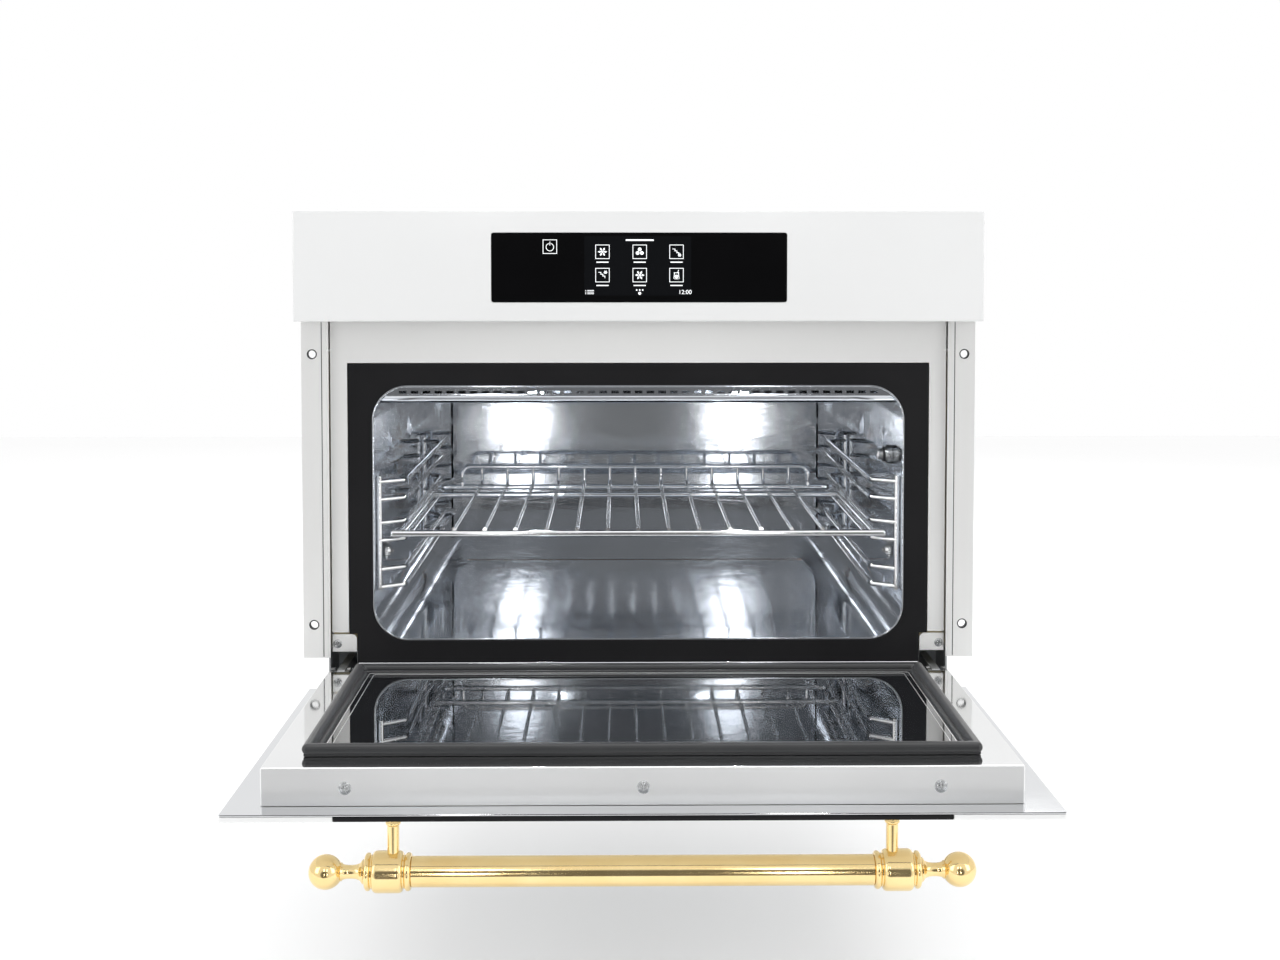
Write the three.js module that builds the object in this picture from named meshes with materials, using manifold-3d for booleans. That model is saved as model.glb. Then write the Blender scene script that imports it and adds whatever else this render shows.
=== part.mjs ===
// Built-in 60 x 45 cm wall appliance with a drop-down door, shown with the door open.
// Millimetres, +Z up, the front looks along -Y. The origin is the middle of the base pan's underside.
// Inside the cabinet group Y is the depth behind the fascia's face, and the door is drawn closed
// inside a group that turns it open about its hinge pins.
import * as THREE from 'three';
import { mergeVertices } from 'three/addons/utils/BufferGeometryUtils.js';
import Module from 'manifold-3d';

const wasm = await Module();
wasm.setup();

// ---- driving dimensions ----
const frontToOrigin = 320;            // depth of the origin behind the fascia's face
const overall = { width: 595, height: 455, depth: 570 };
const gap = 0.3;                      // assembly gap between neighbouring pieces
const sheet = 1.7;                    // thickness of the outer sheet metal
const chassis = { halfWidth: 279, top: 448, frontDepth: 45.3, footDepth: 72, footHeight: 60 };
const fascia = { bottom: 359, depth: 37.3, wall: 2.5, edge: 1.2 };
const glass = { halfWidth: 127, bottom: 375.7, top: 435.3, thickness: 3, corner: 2 };
const channel = { inner: 273.6, outer: 297.5, legInner: 275.4, legOuter: 277, legBack: 66,
  bottom: 59, top: 358.4, face: 36, thickness: 1.6 };
const channelHole = { x: 288, radius: 4.5, heights: [88.5, 329] };
const frame = { halfWidth: 258, bottom: 45, top: 320.5, face: 43, thickness: 2.5 };
const mouth = { halfWidth: 237, bottom: 72.6, top: 301, corner: 32 };
const hingeNotch = { inner: 251, top: 79 };
const liner = { wall: 1.4, clearance: 0.4, front: 43.6, back: 505 };
const coverDepth = 440;               // front face of the evaporator cover
const deckHeight = 331;
const pivot = { depth: 25, height: 44 };
const doorOpenAngle = 90;
const door = { bottom: 6, top: 355.4, halfWidth: 297.5, thickness: 4 };
const doorBox = { bottom: 36, top: 337.4, halfWidth: 272, front: 6, face: 33.5, wall: 1.5 };
const doorNotch = { inner: 250, top: 58 };
const gasket = { halfWidth: 247.5, bottom: 62, top: 313, bar: 12, back: 33.8, face: 42.6 };
const handle = { height: 314, standOff: 50, tubeRadius: 11, tubeHalf: 167.7, postX: 181 };
const guide = { heights: [134, 176, 213], pair: 16, halfWidth: 211, rod: 2.5, postX: 232.4, postFront: 58,
  postRear: 405, postBottom: 116, postTop: 217, step: 16 };
const nut = { depth: 75, height: 148, radius: 8, bore: 2.6, inner: 224.6, outer: 232.8 };
const rack = { height: 166, front: 60, back: 372, halfWidth: 222, wires: 13, spacing: 27.7, rod: 3, wire: 2,
  sideX: 214, upstandHalf: 187.5, upstandRise: 22 };
const probe = { depth: 105, height: 232, tip: 222, radius: 5, flange: 9, bore: 2 };
const duct = { bottom: 284, front: 50, radius: 8 };
const lamp = { x: 95, depth: 100, radius: 8 };
const evaporator = { low: 88, high: 207, middle: 474, fanHeight: 250 };
const condenser = { x: -177, depth: 170, fanHeight: 388 };
const doorScrews = { x: [-212, 0, 212], depth: 18.7 };

// ---- finishes ----
const finish = (color, roughness, metalness) =>
  new THREE.MeshStandardMaterial({ color, roughness, metalness, flatShading: true });
const whiteEnamel = finish(0xf1f0ee, 0.22, 0.1);
const polishedSteel = finish(0xc9ced3, 0.08, 1);
const brushedSteel = finish(0xb4b8bb, 0.35, 1);
const galvanised = finish(0x9ea3a6, 0.5, 0.9);
const blackPlastic = finish(0x151617, 0.45, 0);
const blackGlass = finish(0x08090b, 0.05, 0.2);
const rubber = finish(0x26282a, 0.6, 0);
const brass = finish(0xc9a566, 0.2, 1);
const wireChrome = finish(0xd5d8da, 0.15, 1);
const foam = finish(0xe2d3a0, 0.95, 0);
const circuitGreen = finish(0x2b5a3a, 0.6, 0.1);
const copper = finish(0xb8734a, 0.35, 1);
const motorBlack = finish(0x1b1c1e, 0.5, 0.3);
const lampLens = finish(0xf4f6f8, 0.3, 0);

// ---- shape helpers ----
const axisX = new THREE.Vector3(1, 0, 0);
const axisY = new THREE.Vector3(0, 1, 0);
const axisZ = new THREE.Vector3(0, 0, 1);

// A closed geometry becomes a solid that can be joined and cut.
function solid(geometry) {
  const bare = geometry.clone();
  bare.deleteAttribute('normal');
  bare.deleteAttribute('uv');
  const merged = mergeVertices(bare, 1e-4);
  const corners = [];
  for (let i = 0; i < merged.index.count; i += 3) {
    const [a, b, c] = [0, 1, 2].map((k) => merged.index.getX(i + k));
    if (a !== b && b !== c && c !== a) corners.push(a, b, c);
  }
  return new wasm.Manifold(new wasm.Mesh({
    numProp: 3,
    vertProperties: new Float32Array(merged.attributes.position.array),
    triVerts: new Uint32Array(corners),
  }));
}

const joined = (...solids) => solids.flat().reduce((whole, next) => whole.add(next));
const cut = (body, ...tools) => tools.flat().reduce((rest, tool) => rest.subtract(tool), body);
const both = (make) => [make(-1), make(1)];

function block([x0, x1], [y0, y1], [z0, z1]) {
  const geometry = new THREE.BoxGeometry(Math.abs(x1 - x0), Math.abs(y1 - y0), Math.abs(z1 - z0));
  return solid(geometry.translate((x0 + x1) / 2, (y0 + y1) / 2, (z0 + z1) / 2));
}

// A profile of [radius, distance] points turned about an axis through `at`.
function turned(axis, profile, at = [0, 0, 0], sides = 16) {
  const geometry = new THREE.LatheGeometry(profile.map(([r, h]) => new THREE.Vector2(r, h)), sides);
  if (axis === 'x') geometry.rotateZ(-Math.PI / 2);
  if (axis === 'z') geometry.rotateX(Math.PI / 2);
  return solid(geometry.translate(...at));
}

const cylinder = (axis, radius, from, to, at, sides) =>
  turned(axis, [[0, from], [radius, from], [radius, to], [0, to]], at, sides);

// A flat outline in a plane, given thickness between two places on the third axis.
function slab(plane, shape, low, high, options = {}) {
  const bevel = options.bevel ?? 0;
  const geometry = new THREE.ExtrudeGeometry(shape, {
    depth: high - low - 2 * bevel,
    curveSegments: options.curveSegments ?? 4,
    bevelEnabled: bevel > 0,
    bevelThickness: bevel,
    bevelSize: bevel,
    bevelOffset: -bevel,
    bevelSegments: 2,
  });
  const turn = new THREE.Matrix4();
  if (plane === 'xz') turn.makeBasis(axisX, axisZ, axisY.clone().negate());
  if (plane === 'yz') turn.makeBasis(axisY, axisZ, axisX);
  geometry.applyMatrix4(turn);
  const shift = { xy: [0, 0, low + bevel], xz: [0, high - bevel, 0], yz: [low + bevel, 0, 0] }[plane];
  return solid(geometry.translate(...shift));
}

function roundedRect([x0, x1], [z0, z1], radius) {
  const shape = new THREE.Shape();
  shape.absarc(x1 - radius, z0 + radius, radius, -Math.PI / 2, 0);
  shape.absarc(x1 - radius, z1 - radius, radius, 0, Math.PI / 2);
  shape.absarc(x0 + radius, z1 - radius, radius, Math.PI / 2, Math.PI);
  shape.absarc(x0 + radius, z0 + radius, radius, Math.PI, 1.5 * Math.PI);
  shape.closePath();
  return shape;
}

const outline = (points) => new THREE.Shape(points.map(([a, b]) => new THREE.Vector2(a, b)));

// A bent rod of straight runs, each run a little long so that the bends close.
function rodThrough(points, radius, sides = 6) {
  const places = points.map((p) => new THREE.Vector3(...p));
  const runs = places.slice(1).map((end, i) => {
    const run = end.clone().sub(places[i]);
    const bar = new THREE.CylinderGeometry(radius, radius, run.length() + radius, sides);
    bar.applyQuaternion(new THREE.Quaternion().setFromUnitVectors(axisY, run.clone().normalize()));
    return solid(bar.translate(...places[i].clone().addScaledVector(run, 0.5)));
  });
  return joined(runs);
}

// A tube along a smooth curve through the points.
function pipe(points, radius, steps) {
  const places = points.map((p) => new THREE.Vector3(...p));
  const curve = new THREE.CatmullRomCurve3(places, false, 'catmullrom', 0.3);
  const section = new THREE.Shape().absarc(0, 0, radius, 0, 2 * Math.PI);
  return solid(new THREE.ExtrudeGeometry(section, { extrudePath: curve, steps, curveSegments: 3 }));
}

function rowOfSlots(count, spacing, centre, makeSlot) {
  return Array.from({ length: count }, (_, i) => makeSlot(centre + (i - (count - 1) / 2) * spacing));
}

function add(parent, name, shape, material) {
  const { vertProperties, triVerts } = shape.getMesh();
  const geometry = new THREE.BufferGeometry();
  geometry.setAttribute('position', new THREE.BufferAttribute(vertProperties, 3));
  geometry.setIndex(new THREE.BufferAttribute(triVerts, 1));
  geometry.computeVertexNormals();
  const mesh = new THREE.Mesh(geometry, material);
  mesh.name = name;
  parent.add(mesh);
  return mesh;
}

const sideName = (side) => (side < 0 ? 'left' : 'right');
const span = (side, a, b) => (side < 0 ? [-b, -a] : [a, b]);

// ---- groups ----
const appliance = new THREE.Group();
const cabinet = new THREE.Group();
cabinet.position.y = -frontToOrigin;
appliance.add(cabinet);

const doorPivot = new THREE.Group();
doorPivot.position.set(0, pivot.depth, pivot.height);
doorPivot.rotation.x = THREE.MathUtils.degToRad(doorOpenAngle);
const doorLeaf = new THREE.Group();
doorLeaf.position.set(0, -pivot.depth, -pivot.height);
doorPivot.add(doorLeaf);
cabinet.add(doorPivot);

// ---- outer casing ----
function addCasing() {
  const { halfWidth, top, frontDepth, footDepth, footHeight } = chassis;
  const inside = halfWidth - sheet;
  const back = overall.depth;

  const pan = joined(
    block([-inside, inside], [footDepth, back - sheet - gap], [0, 2]),
    both((side) => block(span(side, inside - gap - sheet, inside - gap), [footDepth, back - 2], [0, 14])),
  );
  const panVents = rowOfSlots(7, 26, 444, (y) => block([-120, 120], [y - 3, y + 3], [-1, 3]));
  add(cabinet, 'base_pan', cut(pan, panVents), galvanised);

  for (const side of [-1, 1]) {
    const wall = outline([
      [footDepth, 0], [back, 0], [back, top - sheet - gap], [frontDepth, top - sheet - gap],
      [frontDepth, footHeight], [footDepth, footHeight],
    ]);
    const [low, high] = span(side, inside + gap, halfWidth);
    const vents = rowOfSlots(8, 14, 120, (y) => block([low - 1, high + 1], [y - 2.5, y + 2.5], [350, 425]));
    add(cabinet, `side_panel_${sideName(side)}`, cut(slab('yz', wall, low, high), vents), galvanised);
  }

  const lid = block([-halfWidth, halfWidth], [frontDepth, back], [top - sheet, top]);
  const lidRibs = [-1, 1].map((side) =>
    block([side * 140 - 60, side * 140 + 60], [120, 500], [top - gap, top + 1.2]));
  const lidVents = rowOfSlots(10, 12, 0, (x) => block([x - 2.5, x + 2.5], [505, 550], [top - 3, top + 3]));
  add(cabinet, 'top_cover', cut(joined(lid, lidRibs), lidVents), galvanised);

  const rear = block([-inside + gap, inside - gap], [back - sheet, back], [gap + 2, top - sheet - gap]);
  const grille = rowOfSlots(9, 13, condenser.x, (x) =>
    block([x - 4, x + 4], [back - 3, back + 1], [345, 430]));
  const inletHole = block([206, 244], [back - 3, back + 1], [357, 383]);
  add(cabinet, 'back_panel', cut(rear, grille, inletHole), galvanised);

  const deckHalf = channel.legInner - gap;
  const deck = block([-deckHalf, deckHalf], [frontDepth + 1, back - 3], [deckHeight, deckHeight + sheet]);
  const stiffeners = rowOfSlots(3, 170, 300, (y) =>
    block([-6, 6], [y - 60, y + 60], [deckHeight, deckHeight + 6]));
  add(cabinet, 'machine_deck', joined(deck, stiffeners), galvanised);
}

// ---- front: sheet, channels, black frame, trim ----
function addFront() {
  const { inner, outer, legInner, legOuter, legBack, bottom, top, face, thickness } = channel;
  const frontSheet = { halfWidth: 273.3, face: 43.4, thickness: 1.6, top: 446, legBottom: 80 };

  const portal = outline([
    [-frontSheet.halfWidth, frontSheet.legBottom], [-frontSheet.halfWidth, frontSheet.top],
    [frontSheet.halfWidth, frontSheet.top], [frontSheet.halfWidth, frontSheet.legBottom],
    [frame.halfWidth + gap, frontSheet.legBottom], [frame.halfWidth + gap, frame.top + gap],
    [-frame.halfWidth - gap, frame.top + gap], [-frame.halfWidth - gap, frontSheet.legBottom],
  ]);
  const cableHole = block([-40, 40], [42, 46], [395, 425]);
  const portalSlab = slab('xz', portal, frontSheet.face, frontSheet.face + frontSheet.thickness);
  add(cabinet, 'front_panel', cut(portalSlab, cableHole), brushedSteel);

  for (const side of [-1, 1]) {
    const plate = block(span(side, inner, outer), [face, face + thickness], [bottom, top]);
    const leg = block(span(side, legInner, legOuter), [face + 1, legBack], [bottom + 5, top]);
    const grooves = [275.3, 279.6].map((x) =>
      block(span(side, x - 0.4, x + 0.4), [face - 1, face + 0.6], [bottom - 1, top + 1]));
    const holes = channelHole.heights.map((z) =>
      cylinder('y', channelHole.radius, face - 1, face + 3, [side * channelHole.x, 0, z], 20));
    add(cabinet, `side_channel_${sideName(side)}`, cut(joined(plate, leg), grooves, holes), polishedSteel);
  }

  const plate = outline([
    [-hingeNotch.inner, frame.bottom], [hingeNotch.inner, frame.bottom],
    [hingeNotch.inner, hingeNotch.top], [frame.halfWidth, hingeNotch.top],
    [frame.halfWidth, frame.top], [-frame.halfWidth, frame.top],
    [-frame.halfWidth, hingeNotch.top], [-hingeNotch.inner, hingeNotch.top],
  ]);
  const opening = roundedRect([-mouth.halfWidth, mouth.halfWidth], [mouth.bottom, mouth.top], mouth.corner);
  add(cabinet, 'breaker_frame', cut(
    slab('xz', plate, frame.face, frame.face + frame.thickness),
    slab('xz', opening, frame.face - 1, frame.face + frame.thickness + 1),
  ), blackPlastic);

  const trim = { halfWidth: 249.4, front: 38, back: 42.7, bottom: 48, top: 54, screwX: [-203, 0, 203] };
  const trimHoles = trim.screwX.map((x) =>
    cylinder('y', 1.6, trim.front - 1, trim.back + 1, [x, 0, (trim.bottom + trim.top) / 2], 12));
  const trimBar = block([-trim.halfWidth, trim.halfWidth], [trim.front, trim.back], [trim.bottom, trim.top]);
  add(cabinet, 'bottom_trim', cut(trimBar, trimHoles), polishedSteel);

  const cover = { inner: 251.4, outer: 273, thickness: 1.6, bottom: 63, top: 78.6, screwX: 268.5,
    screwHeight: 70 };
  for (const side of [-1, 1]) {
    const screwHole = cylinder('y', 2.6, 42, 46, [side * cover.screwX, 0, cover.screwHeight], 12);
    const plateShape = block(span(side, cover.inner, cover.outer), [frame.face, frame.face + cover.thickness],
      [cover.bottom, cover.top]);
    add(cabinet, `hinge_plate_${sideName(side)}`, cut(plateShape, screwHole), brushedSteel);
  }
}

// ---- cavity liner, foam, evaporator side ----
function linerPrism(grow, from, to) {
  const inset = liner.clearance - grow;
  const tube = roundedRect(
    [-mouth.halfWidth + inset, mouth.halfWidth - inset],
    [mouth.bottom + inset, mouth.top - inset],
    mouth.corner - inset,
  );
  return slab('xz', tube, from, to);
}

function addCavity() {
  const wall = liner.wall;
  const shell = cut(linerPrism(0, liner.front, liner.back + wall), linerPrism(-wall, 0, liner.back));
  const flange = cut(
    block([-249, 249], [46, 47.2], [60, 314]),
    linerPrism(-wall, 40, 50),
  );
  const wallX = mouth.halfWidth - liner.clearance - wall;
  const studs = both((side) =>
    cylinder('x', 2.1, ...span(side, 222, wallX + 0.5), [0, nut.depth, nut.height], 12));
  const probeAt = [0, probe.depth, probe.height];
  const probeHole = cylinder('x', probe.radius + 0.4, 230, 240, probeAt, 16);
  add(cabinet, 'cavity_liner', cut(joined(shell, flange, studs), probeHole), polishedSteel);

  const foamHeights = [47.3, deckHeight - gap];
  const jacket = joined(
    block([-272, 272], [47.5, 70], foamHeights),
    block([-276.5, 276.5], [68, 548], foamHeights),
  );
  const hingePockets = both((side) => block(span(side, 249.6, 280), [40, 192], [40, 64.4]));
  const probePocket = cylinder('x', probe.radius + 0.6, 230, 262, probeAt, 16);
  const drain = cylinder('z', 6, 40, 80, [0, 420, 0], 12);
  add(cabinet, 'insulation_jacket',
    cut(jacket, linerPrism(gap, 0, liner.back + wall + gap), hingePockets, probePocket, drain), foam);

  const returnSlots = both((side) => rowOfSlots(5, 34, 180, (z) =>
    block(span(side, 204, 206.4), [coverDepth - 1, coverDepth + 3], [z - 14, z + 14])));
  add(cabinet, 'evaporator_cover',
    cut(linerPrism(-wall - gap, coverDepth, coverDepth + 1.5), returnSlots.flat()), polishedSteel);

  const { low: coilLow, high: coilHigh, middle } = evaporator;
  const coilBody = joined(
    block([-188, 188], [middle - 2, middle + 2], [coilLow + 2, coilHigh - 2]),
    rowOfSlots(13, 28, 0, (x) => block([x - 0.7, x + 0.7], [middle - 19, middle + 19], [coilLow, coilHigh])),
    both((side) =>
      block(span(side, 187, 189), [middle - 22, middle + 22], [mouth.bottom + 2.4, coilHigh + 3])),
    [110, 186].map((z) => cylinder('x', 4, 188, 200, [0, middle - 10, z], 8)),
  );
  add(cabinet, 'evaporator_coil', coilBody, copper);

  const ductShape = (wallCut, reach) => {
    const low = duct.bottom + wallCut;
    const bendDepth = duct.front + duct.radius;
    const bendHeight = duct.bottom + duct.radius;
    return joined(
      block([-reach, reach], [bendDepth, coverDepth + wallCut], [low, mouth.top + wallCut]),
      cylinder('x', duct.radius - wallCut, -reach, reach, [0, bendDepth, bendHeight], 16),
      block([-reach, reach], [duct.front + wallCut, bendDepth + 2], [bendHeight, mouth.top + wallCut]),
    );
  };
  const ductShell = cut(ductShape(0, wallX), ductShape(sheet, wallX + 5));
  const lampHoles = both((side) =>
    cylinder('z', lamp.radius + 0.4, 280, 290, [side * lamp.x, lamp.depth, 0], 16));
  const airSlots = rowOfSlots(15, 18, 0, (x) => block([x - 5, x + 5], [45, 55], [293.4, 295.4]));
  add(cabinet, 'ceiling_duct',
    cut(ductShell.intersect(linerPrism(-wall - gap, 40, coverDepth)), lampHoles, airSlots), polishedSteel);
  const lens = [[0, 282.6], [6, 283], [lamp.radius, 284.2], [lamp.radius, 290], [0, 290]];
  for (const side of [-1, 1]) {
    const lensShape = turned('z', lens, [side * lamp.x, lamp.depth, 0], 16);
    add(cabinet, `lamp_lens_${sideName(side)}`, lensShape, lampLens);
  }

  const { tip, radius, flange: collar } = probe;
  const probeSocket = turned('x', [
    [0, tip], [radius, tip], [radius, wallX - 6], [collar, wallX - 5], [collar, wallX - gap],
    [radius, wallX - gap], [radius, 258], [0, 258],
  ], probeAt, 20);
  const jackBore = cylinder('x', probe.bore, tip - 7, 236, probeAt, 10);
  add(cabinet, 'probe_socket', cut(probeSocket, jackBore), brushedSteel);
}

// ---- rack, its guides and the thumb nuts ----
function addRackAndGuides() {
  const { postX, postFront, postRear } = guide;
  const nutAt = [0, nut.depth, nut.height];
  for (const side of [-1, 1]) {
    const parts = [postFront, postRear].map((y) =>
      rodThrough([[side * postX, y, guide.postBottom], [side * postX, y, guide.postTop]], guide.rod));
    for (const top of guide.heights) {
      for (const z of [top, top - guide.pair]) {
        parts.push(rodThrough([
          [side * postX, postFront, z], [side * guide.halfWidth, postFront + guide.step, z],
          [side * guide.halfWidth, postRear - guide.step, z], [side * postX, postRear, z],
        ], guide.rod));
      }
    }
    const tab = block(span(side, 233.2, 234.8), [postFront, 86], [nut.height - 8.5, nut.height + 8.5]);
    const tabHole = cylinder('x', nut.bore, -240, 240, nutAt, 12);
    add(cabinet, `rack_guide_${sideName(side)}`, cut(joined(parts, tab), tabHole), wireChrome);

    const gripCircle = nut.radius + 0.2;
    const grips = rowOfSlots(12, 30, 0, (angle) => {
      const turn = THREE.MathUtils.degToRad(angle);
      const [y, z] = [nut.depth + gripCircle * Math.cos(turn), nut.height + gripCircle * Math.sin(turn)];
      return cylinder('x', 1, -300, 300, [0, y, z], 6);
    });
    const [low, high] = span(side, nut.inner, nut.outer);
    const bore = cylinder('x', nut.bore, low - 1, high + 1, nutAt, 12);
    add(cabinet, `thumb_nut_${sideName(side)}`,
      cut(cylinder('x', nut.radius, low, high, nutAt, 18), bore, grips), wireChrome);
  }

  const { front, back, height, sideX, upstandHalf } = rack;
  const cornerCut = 8;
  const wireHeight = height + 3.2;
  const upstandTop = height + rack.upstandRise;
  const upstandCut = 6;
  const wireX = Array.from({ length: rack.wires }, (_, i) => (i - (rack.wires - 1) / 2) * rack.spacing);
  const rackShape = joined(
    rodThrough([[-rack.halfWidth, front, height], [rack.halfWidth, front, height]], rack.rod),
    both((side) => rodThrough([
      [side * sideX, front, height], [side * sideX, back - cornerCut, height],
      [side * (sideX - cornerCut), back, height], [0, back, height],
    ], rack.rod)),
    rodThrough([[-sideX, back - 60, height], [sideX, back - 60, height]], rack.rod),
    wireX.map((x) => rodThrough([
      [x, front, wireHeight], [x, back, wireHeight], [x, back, upstandTop - 1],
    ], rack.wire, 4)),
    rodThrough([
      [-upstandHalf, back, height], [-upstandHalf, back, upstandTop - upstandCut],
      [-upstandHalf + upstandCut, back, upstandTop], [upstandHalf - upstandCut, back, upstandTop],
      [upstandHalf, back, upstandTop - upstandCut], [upstandHalf, back, height],
    ], 2.5),
  );
  add(cabinet, 'wire_rack', rackShape, wireChrome);
}

// ---- fascia and controls ----
function addFascia() {
  const half = overall.width / 2;
  const bar = [fascia.bottom, overall.height];
  const bossPlaces = [[-240, 372], [240, 372], [-240, 442], [240, 442]];
  const shell = cut(
    slab('xz', roundedRect([-half, half], bar, 1.5), 0, fascia.depth + 2,
      { bevel: fascia.edge, curveSegments: 2 }),
    block([-half - 1, half + 1], [fascia.depth, fascia.depth + 5], [fascia.bottom - 1, overall.height + 1]),
    block([-half + fascia.wall, half - fascia.wall], [fascia.wall, fascia.depth + 5],
      [fascia.bottom + fascia.wall, overall.height - fascia.wall]),
  );
  const bosses = bossPlaces.map(([x, z]) => cylinder('y', 4, fascia.wall - 1, 43.1, [x, 0, z], 12));
  const window = slab('xz', roundedRect([-glass.halfWidth - gap, glass.halfWidth + gap],
    [glass.bottom - gap, glass.top + gap], glass.corner + gap), -1, 5);
  add(cabinet, 'fascia', cut(joined(shell, bosses), window), whiteEnamel);

  const pane = roundedRect([-glass.halfWidth, glass.halfWidth], [glass.bottom, glass.top], glass.corner);
  add(cabinet, 'control_glass', slab('xz', pane, 0, glass.thickness), blackGlass);

  const board = joined(
    block([-50, 48], [glass.thickness + gap, 10.2], [381, 430]),
    block([-84, -68], [glass.thickness + gap, 10.2], [397, 413]),
    block([-120, 120], [10, 11.6], [378, 433]),
    [[-100, 400], [70, 390], [95, 415]].map(([x, z]) => block([x - 8, x + 8], [11, 22], [z - 7, z + 7])),
    cylinder('y', 5, 11, 24, [-20, 0, 420], 12),
  );
  add(cabinet, 'control_board', board, circuitGreen);
}

// ---- machine compartment above the cavity ----
function addMachinery() {
  const floor = deckHeight + sheet + gap;
  const canCentre = [150, 440, 0];
  const can = joined(
    turned('z', [
      [0, floor + 3], [46, floor + 3], [55, floor + 14], [55, floor + 68], [46, floor + 88], [20, floor + 98],
      [0, floor + 100],
    ], canCentre, 20),
    block([92, 208], [395, 485], [floor, floor + 4]),
    block([200, 216], [425, 455], [floor + 20, floor + 60]),
    cylinder('z', 5, floor + 80, floor + 96, [120, 425, 0], 10),
  );
  add(cabinet, 'compressor', can, motorBlack);

  const { x: coreX, depth: coreDepth, fanHeight } = condenser;
  const coreHalf = 85;
  const condenserShape = joined(
    block([coreX - coreHalf, coreX + coreHalf], [coreDepth - 2, coreDepth + 2], [floor + 4, 438]),
    rowOfSlots(12, 14, coreX, (x) =>
      block([x - 0.7, x + 0.7], [coreDepth - 20, coreDepth + 20], [floor, 440])),
    both((side) => block([coreX + side * coreHalf - 1, coreX + side * coreHalf + 1],
      [coreDepth - 22, coreDepth + 22], [floor, 441])),
    [378, 428].map((z) =>
      cylinder('x', 4, coreX + coreHalf, coreX + coreHalf + 6, [0, coreDepth - 10, z], 8)),
  );
  add(cabinet, 'condenser', condenserShape, copper);

  const fanAt = [coreX, 0, fanHeight];
  const motor = joined(
    cylinder('y', 22, 226, 262, fanAt, 20),
    block([coreX - 10, coreX + 10], [232, 256], [floor, fanHeight - 10]),
    block([coreX - 23, coreX + 23], [228, 260], [floor, floor + 3]),
  );
  add(cabinet, 'condenser_fan_motor', cut(motor, cylinder('y', 3.2, 220, 236, fanAt, 12)), motorBlack);
  add(cabinet, 'condenser_fan', fanWheel(fanAt, 202, 218, 44, 13, 234), blackPlastic);

  add(cabinet, 'discharge_pipe', pipe([
    [120, 425, floor + 97.5], [120, 424, floor + 103], [105, 405, floor + 107], [50, 380, 434], [10, 320, 430],
    [-20, 240, 429], [-45, 175, 428], [-70, 160, 428], [-85.6, 160, 428],
  ], 3, 22), copper);

  const powerBoard = joined(
    block([120, 250], [90, 200], [floor + 8, floor + 9.6]),
    [[126, 96], [244, 96], [126, 194], [244, 194]].map(([x, y]) =>
      cylinder('z', 3, floor, floor + 9, [x, y, 0], 8)),
    block([140, 180], [110, 150], [floor + 9, floor + 45]),
    block([200, 230], [105, 130], [floor + 9, floor + 30]),
    [[205, 165], [225, 165], [205, 185]].map(([x, y]) =>
      cylinder('z', 8, floor + 9, floor + 35, [x, y, 0], 14)),
  );
  add(cabinet, 'power_board', powerBoard, circuitGreen);

  const inlet = cut(
    joined(
      block([207, 243], [548, overall.depth + 1], [358, 382]),
      block([200, 250], [overall.depth + gap, overall.depth + 2.5], [354, 386]),
    ),
    block([213, 237], [554, overall.depth + 5], [363, 377]),
  );
  const pins = [-7, 0, 7].map((x) => block([225 + x - 1, 225 + x + 1], [552, 566], [368, 372]));
  add(cabinet, 'power_inlet', joined(inlet, pins), blackPlastic);

  const tray = cut(
    block([-130, 130], [300, 460], [2.6, 24]),
    block([-128, 128], [302, 458], [4.6, 30]),
  );
  add(cabinet, 'drip_tray', tray, blackPlastic);
}

// A hub with five pitched blades on a short shaft along Y.
function fanWheel([x, , z], from, to, radius, hubRadius, shaftEnd) {
  const middle = (from + to) / 2;
  const blades = Array.from({ length: 5 }, (_, i) => {
    const blade = new THREE.BoxGeometry(radius - hubRadius + 3, 1.6, 24);
    blade.rotateX(THREE.MathUtils.degToRad(32));
    blade.translate((radius + hubRadius - 3) / 2, 0, 0);
    blade.rotateY((i * 2 * Math.PI) / 5);
    return solid(blade.translate(x, middle, z));
  });
  return joined(
    cylinder('y', hubRadius, from, to, [x, 0, z], 20),
    cylinder('y', 2.5, to - 1, shaftEnd, [x, 0, z], 12),
    blades,
  );
}

function addEvaporatorFan() {
  const height = evaporator.fanHeight;
  const fanAt = [0, 0, height];
  const motor = joined(
    cylinder('y', 20, 486, 500, fanAt, 20),
    block([-60, 60], [499, liner.back - gap], [height - 8, height + 8]),
  );
  add(cabinet, 'evaporator_fan_motor', cut(motor, cylinder('y', 3.2, 480, 494, fanAt, 12)), motorBlack);
  add(cabinet, 'evaporator_fan', fanWheel(fanAt, 462, 478, 31, 11, 492), blackPlastic);
}

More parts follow.
